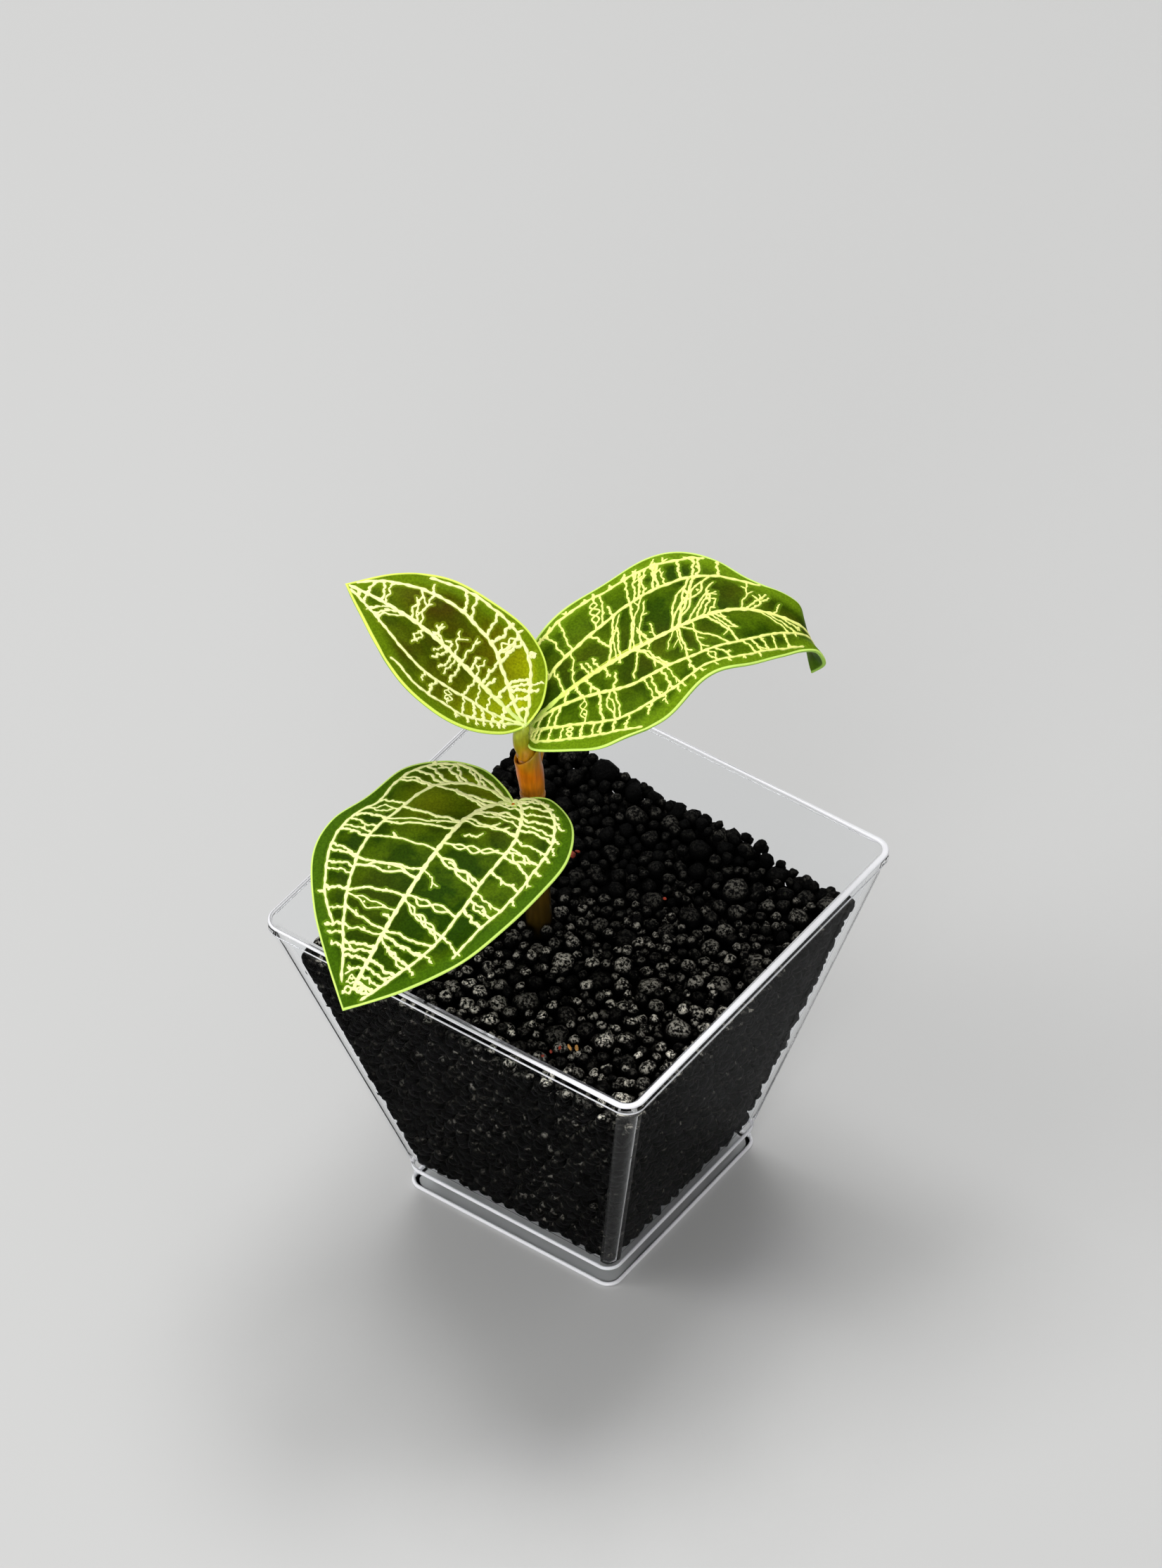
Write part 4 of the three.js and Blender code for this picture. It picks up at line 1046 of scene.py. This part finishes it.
def grow_stem(skin):
    """Level rings whose radius follows the profile, averaged over five rings, with two sets of
    faint lengthwise ribs that wind a little."""
    heights, radii = STEM_PROFILE.T
    z = np.linspace(heights[0], heights[-1], STEM_STEPS)
    radius = np.convolve(np.pad(np.interp(z, heights, radii), 2, "edge"), np.full(5, 0.2), "valid")
    z, radius, angle = z[:, None], radius[:, None], full_turn(ROUND_STEM)
    ribs = 0.025 * np.sin(9 * angle + 0.12 * z) + 0.02 * np.sin(5 * angle - 0.3 * z + 1)
    rings = round_column(z, radius + ribs)
    put("stem_column", *ring_body(rings), [skin], "stem", stands_for=["stem"])


def grow_sheath(name, skin):
    """A sleeve round the stem: out from the lower rim, up the outside to a slanting mouth, over
    its lip and down the inside."""
    sheath = SHEATHS[name]
    toward = (1 + np.cos(full_turn(ROUND_STEM) - np.radians(sheath["heading"]))) / 2
    mouth = sheath["high"] - sheath["slant"] * (1 - toward)
    up = np.array([0, .02, .08, .2, .35, .5, .65, .8, .92, .98, 1])[:, None]
    z = sheath["low"] + (mouth - sheath["low"]) * up
    low, half, high = sheath["radii"]
    outside = np.interp(up, [0, .5, 1], [low, half, high]) + 0 * toward
    outside[0] -= 0.12
    outside[-1] -= 0.1
    inside = np.full_like(outside, SHEATH_BORE)
    inside[-1] = high - 0.2
    z_all = np.concatenate([z, z[::-1]])
    z_all[len(z) - 1] += 0.03
    rings = round_column(z_all, np.concatenate([outside, inside[::-1]]))
    put("sheath_" + name, *ring_loop(rings), [skin], LEAF_SLOTS[name], stands_for=["leaf_" + name])


def grow_roots(skin):
    """The crown below the stem and four fleshy roots that spread and drop from it."""
    z = np.array([31.9, 33, 35, 37.5, 39.2, 39.7])[:, None]
    radius = np.array([0.6, 1.3, 2.0, 2.3, 2.1, 1.7])[:, None] * np.ones(24)
    bodies = [ring_body(round_column(z, radius, 24))]
    for k in range(ROOTS):
        angle = 2 * np.pi * (k + 0.3) / ROOTS
        out = np.array([np.cos(angle), np.sin(angle)])
        drop = ROOT_DROP * (1 - 0.1 * (k % 2))
        path = [ROOT_START + [*(out * share * ROOT_REACH), -fall * drop] for share, fall in ROOT_LINE]
        side = np.array([-out[1], out[0], 0])
        bodies.append(ring_body(tube(path, (1, 1, .9, .75, .45), side, rows=30, columns=14)))
    put("root_crown", *joined(bodies), [skin], "roots", stands_for=["roots"])


# ---------------------------------------------------------------- pot

RIM_HALF, RIM_CORNER, RIM_TOP = 35.0, 3.2, 62.0
LIP_BOTTOM, LIP_OUT = 60.2, 0.4
RIM_BAND = 1.4
FOOT_HALF, FOOT_TOP, FOOT_CORNER = 19.75, 4.0, 2.2
WALL = 1.0
CORNER_STEPS = 14
FLAT_SHARES = (0.25, 0.5, 0.75)  # places of the points between two corners
WALL_RINGS = np.array([6, 12, 20, 28, 36, 44, 52, 58.5])
WALL_START, LIP_START = 4.6, 60.1  # heights at which the plain wall starts and ends
FLOOR = 4.05
# half width, corner and height, up the foot, round the lip and over the floor
FOOT_PROFILE = [(12, 1.5, 0.25), (18.6, 2.0, 0.25), (19.0, 2.1, 0), (19.5, 2.2, 0), (19.72, 2.3, 0.12),
                (19.82, 2.3, 0.4), (19.75, 2.2, 0.75), (19.7, 2.2, 2.0), (19.75, 2.2, 3.4),
                (19.95, 2.3, 3.75), (20.0, 2.3, 4.0), (19.95, 2.3, 4.25)]
LIP_PROFILE = [(34.9, 3.1, 60.25), (35.0, 3.2, 60.5), (35.0, 3.2, 61.6), (33.6, 1.8, 61.6)]
FLOOR_PROFILE = [(17, 1.0, FLOOR), (9, 1.0, FLOOR)]
RIM_PROFILE = np.array([(33.9, 2.15, 61.62), (34.9, 3.1, 61.62), (35.0, 3.2, 61.7), (34.97, 3.18, 61.85),
                        (34.85, 3.08, 61.96), (34.65, 2.9, 62.0), (34.2, 2.45, 62.0), (34.02, 2.27, 61.96),
                        (33.9, 2.15, 61.85), (33.86, 2.1, 61.7)])
FOOT_BEAD = 0.34  # radius of the beads at the foot
WALL_BENDING, CORNER_BENDING = 1.015, 1.12  # index of refraction
RIM_SLIMMING = 0.5  # how much narrower the rim's white band, a painted reflection, is where x is low


def wall_half(z):
    """Half the outside width of the tapered wall at height z, on a straight line."""
    return FOOT_HALF + (RIM_HALF - LIP_OUT - FOOT_HALF) * (z - FOOT_TOP) / (LIP_BOTTOM - FOOT_TOP)


def wall_corner(z):
    """Radius of the wall's upright corners at height z, on a straight line."""
    return FOOT_CORNER + (RIM_CORNER - LIP_OUT - FOOT_CORNER) * (z - FOOT_TOP) / (LIP_BOTTOM - FOOT_TOP)


def inner_half(z):
    """Half the inside width of the pot at height z."""
    share = (z - FOOT_TOP) / (RIM_TOP - FOOT_TOP)
    return FOOT_HALF - WALL + (RIM_HALF - RIM_BAND - FOOT_HALF + WALL) * share


def square_rings(half, corner, z):
    """Rings of a square with round corners: quarter circles about four corner centres, with a
    few points between them along the flat sides."""
    half, corner, z = (np.asarray(a, float)[:, None, None] for a in (half, corner, z))
    quarter = np.arange(4)[:, None] * np.pi / 2
    angle = quarter + np.linspace(0, np.pi / 2, CORNER_STEPS + 1)
    flat = (half - corner) * np.sqrt(2)
    x = flat * np.cos(quarter + np.pi / 4) + corner * np.cos(angle)
    y = flat * np.sin(quarter + np.pi / 4) + corner * np.sin(angle)
    rings = np.stack([x, y, z + 0 * x], -1)
    start, stop = rings[:, :, -1], np.roll(rings[:, :, 0], -1, axis=1)
    between = [start + (stop - start) * share for share in FLAT_SHARES]
    rings = np.concatenate([rings, np.stack(between, 2)], axis=2)
    return rings.reshape(len(z), -1, 3)


def mould_pot(plastics):
    """One profile of half width, corner and height, carried round the square: under the foot,
    up the foot and its small bead, up the wall and its lip, over the lip's flat top, and down the
    inside to the floor. The walls' round corners, where the plastic is thicker, get the second
    plastic."""
    profile = [*FOOT_PROFILE]
    profile += [(wall_half(z), wall_corner(z), z) for z in (WALL_START, *WALL_RINGS, LIP_START)]
    profile += LIP_PROFILE
    profile += [(inner_half(z), max(wall_corner(z) - WALL, 0.9), z)
                for z in (LIP_START, *WALL_RINGS[::-1], 5.4)]
    profile += [(inner_half(4.6) - 0.25, 1.1, 4.6), (inner_half(4.2) - 0.7, 1.0, 4.15), *FLOOR_PROFILE]
    half, corner, height = np.array(profile, float).T
    rings = square_rings(half, corner, height)
    points, faces = ring_body(rings)
    row, column = np.divmod(np.arange(len(faces)), rings.shape[1])
    on_wall = (height[np.minimum(row, len(height) - 2)] > 4.5) & (row < len(height) - 1)
    on_corner = column % (CORNER_STEPS + 1 + len(FLAT_SHARES)) < CORNER_STEPS
    put("pot_wall", points, faces, plastics, "pot", stands_for=["pot"], marks=on_wall & on_corner)


def round_rim(plastic):
    """The round rim: one profile carried round the square. It is narrow, with its inner side
    further out, and widens towards the high side of x by the fourth power of x: its white band is a painted
    reflection."""
    narrow = RIM_PROFILE.copy()
    narrow[:, :2] += (RIM_SLIMMING * (RIM_PROFILE[:, 0] < 34.3))[:, None]
    wide, slim = square_rings(*RIM_PROFILE.T), square_rings(*narrow.T)
    # painted reflection: the white band is widest on the high side of x
    share = np.clip(wide[:, :, :1] / RIM_HALF, 0, 1)**4
    put("pot_rim", *ring_loop(slim + (wide - slim) * share), [plastic], "pot", stands_for=["pot"])


def lay_lip_line(plastic):
    """A bead along the lip's lower edge: circles square to it, whose radius grows with x and
    falls with y, between two limits."""
    turn = full_turn(10)
    line = square_rings(34.9 + 0 * turn, 3.1 + 0 * turn, 60.5 + 0 * turn)
    thick = 0.04 + 0.11 * np.clip(0.5 + (line[:1, :, 0] - line[:1, :, 1]) / 70, 0, 1)
    outward = unit(line * [1, 1, 0])
    line = line + outward * (thick * np.cos(turn)[:, None])[..., None]
    line[..., 2] += thick * np.sin(turn)[:, None]
    put("pot_lip_line", *ring_loop(line), [plastic], "pot", stands_for=["pot"])


def lay_foot_beads(plastic):
    """A round bead along the foot's upper and lower edge: a circle carried round the square."""
    turn = full_turn(12)
    out, rise = FOOT_BEAD * np.cos(turn), FOOT_BEAD * np.sin(turn)
    for name, height in (("upper", 4.0), ("lower", 0.36)):
        bead = square_rings(19.72 + out, 2.25 + out, height + rise)
        put(f"pot_foot_bead_{name}", *ring_loop(bead), [plastic], "pot", stands_for=["pot"])


# ---------------------------------------------------------------- granules

CELL = 0.3  # cell of the height field that the grains land on
BED_LEVEL = 53.1
BED_SLOPE = (-0.035, -0.01)
MOUNDS = [(-13, 27, 8, 1.9), (11, 29, 5, 2.2), (2, 30, 5, 1.0)]  # place, size and height
TOP_DEPTH, UNDER_TOP = 4.2, 2.5  # the upper layer's depth, and how far below it grains may land
GRAIN_SPREAD, GRAIN_LIMITS = (0.24, 0.28), (0.8, 2.4)  # of the upper layer's radii
SIDE_SPREAD, SIDE_LIMITS = (0.22, 0.2), (0.85, 1.9)  # of the side layer's radii
SPOTS = 12  # tried for each grain
MISSES = 700  # grains in a row that find no room before the bed is full
WINDOW = 8  # cells on each side of a spot that a grain may cover
STEM_ROOM = 2.1
BURIED = 0.35  # share of its radius by which a grain's middle stays below the bed's level
LEANING, BLOCKED = 1.8, 1e3  # how much higher a spot counts where a wall or the stem is in the way
SIDE_HEIGHTS, SIDE_STEPS = (5.0, 53, 1.9), (-34, 34, 2.2)  # of the side layer's rows and places
LOWEST_GRAIN = 4.15
CORE_HEIGHTS = np.array([4.3, 20, 40, BED_LEVEL - 3.4])
CORE_GAPS = np.array([1.1, 1.7, 1.7, 1.7])  # between the core and the walls
GRAIN_KINDS = 14
LUMP_WAVES = (1.6, 2.4, 3.6, 5.0)
LUMP_SIZE = 0.12  # height of the waves on a grain of radius 1
FRONT_X, FRONT_Y = 0.6, -0.8  # the way to the front, towards which the grains' painted highlight grows, a painted pool of light
FRONT_REACH = 26


def bed_level(x, y):
    """The height up to which grains lie: a sloping plane with a few round mounds on it."""
    level = BED_LEVEL + BED_SLOPE[0] * x + BED_SLOPE[1] * y
    for at_x, at_y, size, height in MOUNDS:
        level = level + height * np.exp(-((x - at_x)**2 + (y - at_y)**2) / size**2)
    return level


def settle_grains(random):
    """The upper layer. Grains fall one by one, each on the spot of a few where it comes to rest
    lowest. A spot's rest height is the highest of ground plus sphere under its footprint, and
    the sphere's top becomes ground. The ground starts as a bed of the same form further down,
    between the walls, and a grain that would only lean on a wall stays low."""
    side = np.arange(-34.5, 34.5 + CELL, CELL)
    x, y = np.meshgrid(side, side, indexing="ij")
    reach = np.maximum(np.abs(x), np.abs(y))
    slope = (inner_half(RIM_TOP) - inner_half(FOOT_TOP)) / (RIM_TOP - FOOT_TOP)
    wall = FOOT_TOP + (reach - inner_half(FOOT_TOP)) / slope
    ground = np.maximum(bed_level(x, y) - TOP_DEPTH - UNDER_TOP, wall)
    stem = np.hypot(x - STEM_AXIS[1][0], y - STEM_AXIS[1][1]) < STEM_ROOM
    steps = np.arange(-WINDOW, WINDOW + 1)
    offset_x, offset_y = np.meshgrid(steps, steps, indexing="ij")
    placed, misses, tries = [], 0, np.arange(SPOTS)
    while misses < MISSES:
        radius = float(np.clip(random.lognormal(*GRAIN_SPREAD), *GRAIN_LIMITS))
        limit = inner_half(BED_LEVEL) - radius
        spots = random.uniform(-limit, limit, (SPOTS, 2))
        index = np.rint((spots - side[0]) / CELL).astype(int)
        rows = np.clip(index[:, 0, None, None] + offset_x, 0, len(side) - 1)
        columns = np.clip(index[:, 1, None, None] + offset_y, 0, len(side) - 1)
        spot_x, spot_y = spots.T[:, :, None, None]
        away = (x[rows, columns] - spot_x)**2 + (y[rows, columns] - spot_y)**2
        inside = away < radius**2
        bulge = np.sqrt(np.maximum(radius**2 - away, 0))
        rests = np.where(inside, ground[rows, columns] + bulge, -1).reshape(SPOTS, -1)
        touch = rests.argmax(axis=1)
        rest = rests[tries, touch]
        leaning = (ground <= wall)[rows, columns].reshape(SPOTS, -1)[tries, touch]
        blocked = np.where(inside, stem[rows, columns], False).any(axis=(1, 2))
        over = rest + BURIED * radius - bed_level(*spots.T) + LEANING * leaning + BLOCKED * blocked
        best = int(np.argmin(over))
        if over[best] > 0:
            misses += 1
            continue
        misses = 0
        under = rows[best], columns[best]
        top = np.maximum(ground[under], rest[best] + bulge[best])
        ground[under] = np.where(inside[best], top, ground[under])
        placed.append((*spots[best], rest[best], radius))
    return np.array(placed)


def line_walls(random):
    """One layer of grains against the four walls, on level rows whose grains stand between
    those of the row below, each strayed a little from its place."""
    z, along, turn = np.meshgrid(np.arange(*SIDE_HEIGHTS), np.arange(*SIDE_STEPS), np.arange(4),
                                 indexing="ij")
    along = along + SIDE_STEPS[2] / 2 * (np.arange(z.shape[0]) % 2)[:, None, None]
    z, along, turn = z.ravel(), along.ravel(), turn.ravel() * np.pi / 2
    count = len(z)
    radius = np.clip(random.lognormal(*SIDE_SPREAD, count), *SIDE_LIMITS)
    z = z + random.uniform(-0.45, 0.45, count)
    along = along + random.uniform(-0.5, 0.5, count)
    out = inner_half(z) - random.uniform(0, 0.35, count)
    x, y = out * np.cos(turn) - along * np.sin(turn), out * np.sin(turn) + along * np.cos(turn)
    z = np.maximum(z, LOWEST_GRAIN + 0.95 * radius)
    kept = (np.abs(along) < inner_half(z)) & (z < bed_level(x, y) - 0.9)
    return np.stack([x, y, z, radius], 1)[kept]


def between_walls(grains):
    """Grains moved inwards where they would pass the walls: to the flat walls first, then to
    the circle of the upright corner."""
    x, y, z, radius = grains.T
    room = inner_half(z) - radius * 1.04 - 0.08
    corner = np.maximum(wall_corner(z) - WALL - radius, 0.0)
    sides = np.clip(np.stack([x, y], 1), -room[:, None], room[:, None])
    bend = (room - corner)[:, None]
    past = np.maximum(np.abs(sides) - bend, 0)
    far = np.linalg.norm(past, axis=1)
    pull = np.where(far > corner, corner / np.maximum(far, 1e-9), 1.0)[:, None]
    both = (past > 0).all(axis=1)[:, None]
    sides = np.where(both, np.sign(sides) * (bend + past * pull), sides)
    return np.concatenate([sides, grains[:, 2:]], axis=1)


def round_lump(subdivisions):
    """Points and faces of a ball of triangles."""
    shape = bmesh.new()
    bmesh.ops.create_icosphere(shape, subdivisions=subdivisions, radius=1)
    points = np.array([v.co[:] for v in shape.verts])
    faces = np.array([[v.index for v in f.verts] for f in shape.faces])
    shape.free()
    return points, faces


def lumpy(points, random, count):
    """Balls pushed in and out by sine waves that run across them in random directions."""
    shapes = []
    for _ in range(count):
        push = np.zeros(len(points))
        for wave in LUMP_WAVES:
            direction = unit(random.normal(size=3))
            push += np.sin(points @ direction * wave * 1.6 + random.uniform(0, 6.28)) / np.sqrt(wave)
        shapes.append(points * (1 + LUMP_SIZE * push)[:, None])
    return np.array(shapes)


def turned(random, count):
    """Random rotations as matrices, from random unit quaternions."""
    w, x, y, z = unit(random.normal(size=(count, 4))).T
    return np.stack([
        np.stack([1 - 2 * (y * y + z * z), 2 * (x * y - z * w), 2 * (x * z + y * w)], -1),
        np.stack([2 * (x * y + z * w), 1 - 2 * (x * x + z * z), 2 * (y * z - x * w)], -1),
        np.stack([2 * (x * z - y * w), 2 * (y * z + x * w), 1 - 2 * (x * x + y * y)], -1)], 1)


def scatter(name, grains, random, skins, slot="granules", stretch=(0.86, 1.06), wear_and_highlight=1.0):
    """Lumps at the grains' places, each a random variant, stretched, turned and scaled. Each grain
    keeps a share of painted highlight that differs at random and grows towards the front, a painted pool of
    light."""
    points, faces = round_lump(2)
    shapes = lumpy(points, random, GRAIN_KINDS)
    count = len(grains)
    variant = random.integers(0, len(shapes), count)
    scale = random.uniform(*stretch, (count, 1, 3)) * grains[:, 3, None, None]
    lumps = np.einsum("gij,gvj->gvi", turned(random, count), shapes[variant] * scale)
    lumps = lumps + grains[:, None, :3]
    all_faces = (faces[None] + (np.arange(count) * len(points))[:, None, None]).reshape(-1, 3)
    # painted light: the painted highlight grows towards the front, where more light falls
    forward = FRONT_X * grains[:, 0] + FRONT_Y * grains[:, 1]
    front_light = np.clip(0.4 + forward / FRONT_REACH, 0.05, 1.15)
    worn = np.repeat(wear_and_highlight * front_light * random.uniform(0.12, 1, count)**2.1, len(points))
    put(name, lumps.reshape(-1, 3), all_faces.tolist(), skins, slot, stands_for=["granules"],
        values={"worn": worn})


def fill_pot(random, skin):
    """The grains that can be seen, in a layer along the walls and some layers on top, round a
    dark core that takes up the rest."""
    top = between_walls(settle_grains(random))
    wall = between_walls(line_walls(random))
    # the side layer gets a weaker painted highlight
    for name, grains, order, wear_and_highlight in (("top", top, top[:, 0], 1.0),
                                      ("side", wall, np.arctan2(wall[:, 1], wall[:, 0]), 0.3)):
        for k, part in enumerate(np.array_split(np.argsort(order), 2)):
            scatter(f"grains_{name}_{k + 1}", grains[part], random, [skin], wear_and_highlight=wear_and_highlight)
    core = square_rings(inner_half(CORE_HEIGHTS) - CORE_GAPS, np.full(4, 1.3), CORE_HEIGHTS)
    core[-1, :, 2] += core[-1, :, :2] @ BED_SLOPE
    put("grain_core", *ring_body(core), [skin], "granules", stands_for=["granules"])


# place and radius of each crumb
HUSK = np.array([(-9.0, 10.4, 54.7, 0.6), (-8.5, 11.1, 55.1, 0.38), (7.9, 11.4, 54.0, 0.4),
                 (13.6, -24.1, 54.2, 0.35), (12.9, -25.4, 54.1, 0.3), (12.4, -26.8, 54.0, 0.3)])
STRAW = np.array([(15.8, -22.7, 54.3, 0.55), (15.0, -23.4, 54.5, 0.4)])


def drop_scraps(random, husk, straw):
    """Crumbs of husk and straw on top of the bed."""
    scatter("husk_crumbs", HUSK, random, [husk], stretch=(0.5, 1.3))
    scatter("straw_crumbs", STRAW, random, [straw], stretch=(0.4, 1.4))


# ---------------------------------------------------------------- the whole plant

GREEN = {"Deep": (40, 66, 2), "Light": (82, 110, 7), "Bronze": (74, 72, 10), "Yellow": (170, 180, 20),
         "Band": (106, 138, 16), "Halo": (122, 160, 28), "Margin": (214, 248, 120)}
DARK_GREEN = {**GREEN, "Deep": (34, 60, 2), "Light": (84, 110, 7), "Band": (64, 98, 8)}
OLIVE = {"Deep": (60, 84, 3), "Light": (98, 122, 7), "Bronze": (62, 52, 2), "Yellow": (202, 208, 12),
         "Band": (98, 126, 9), "Halo": (140, 160, 26), "Margin": (226, 250, 104)}
SEED = 20


def build():
    """The plant and its pot. Every random draw comes from one source, so the order of these
    calls is part of the shape."""
    random = np.random.default_rng(SEED)
    place_camera()
    group = leaf_group()
    blades = {"heart": leaf_finish("heart leaf blade", group, DARK_GREEN),
              "right": leaf_finish("long leaf blade", group, GREEN),
              "left": leaf_finish("olive leaf blade", group, OLIVE)}
    back = underside_finish("blade underside", (40, 72, 6), (74, 106, 14))
    gold = vein_finish("gold veins", (255, 255, 148), (166, 206, 56))
    pale_gold = vein_finish("pale gold veins", (255, 255, 184), (180, 210, 76))
    skin = stem_finish()
    for name, leaf in LEAVES.items():
        bend_spine(leaf)
        leaf["lanes"] = np.concatenate([
            flat_point(leaf, s, lane_share(name, lane, s))
            for lane, rows in LANES[name].items()
            for s in [np.linspace(rows[0][0], rows[-1][0], 130)]])
        grow_veins(leaf, name, random, gold if name == "right" else pale_gold)
        grow_blade(leaf, name, [blades[name], back])
        grow_stalk(leaf, name, skin)
    grow_stem(skin)
    for name in SHEATHS:
        grow_sheath(name, skin)
    grow_roots(scrap_finish("root skin", (120, 104, 70), (96, 82, 52)))
    mould_pot([clear_finish("clear plastic", WALL_BENDING),
               clear_finish("clear plastic corner", CORNER_BENDING)])
    # partly painted highlight: the white plastic of the rim, lip line and foot beads
    edge_plastic = edge_finish()
    round_rim(edge_plastic)
    lay_lip_line(edge_plastic)
    lay_foot_beads(edge_plastic)
    fill_pot(random, granule_finish())
    drop_scraps(random, scrap_finish("husk", (168, 58, 30), (110, 38, 20)),
                scrap_finish("straw", (214, 160, 84), (150, 100, 44)))


FLOOR_REACH = 3  # metres
SKY = 0.34
# each light's place and aim in metres, size and power
LIGHTS = {
    "key": ((-0.12, 0.5, 1.15), (0, 0, 0.06), 0.4, 5.2),
    "second key": ((-0.5, 0.2, 1.15), (0, 0, 0.06), 0.4, 5.2),
    "fill": ((-0.75, -0.75, 0.9), (0, 0, 0.06), 0.6, 5.5),
    "front fill": ((0.35, -0.8, 0.35), (0, 0, 0.04), 0.5, 4),
}


def dress_studio():
    """A pale floor, an even pale sky and four soft lights."""
    mesh = bpy.data.meshes.new("floor")
    corners = [(x * FLOOR_REACH, y * FLOOR_REACH, 0) for x, y in ((-1, -1), (1, -1), (1, 1), (-1, 1))]
    mesh.from_pydata(corners, [], [(0, 1, 2, 3)])
    floor = bpy.data.objects.new("floor", mesh)
    bpy.context.scene.collection.objects.link(floor)
    material, *_ = finish("floor paint", Base_Color=(0.52, 0.52, 0.515, 1), Roughness=0.6)
    mesh.materials.append(material)
    world = bpy.data.worlds.new("studio")
    world.use_nodes = True
    sky = world.node_tree.nodes["Background"].inputs
    sky[0].default_value = (1, 1, 1, 1)
    sky[1].default_value = SKY
    bpy.context.scene.world = world
    for name, settings in LIGHTS.items():
        place_light(name, *settings)
    bpy.context.scene.view_settings.view_transform = "Standard"


build()
dress_studio()
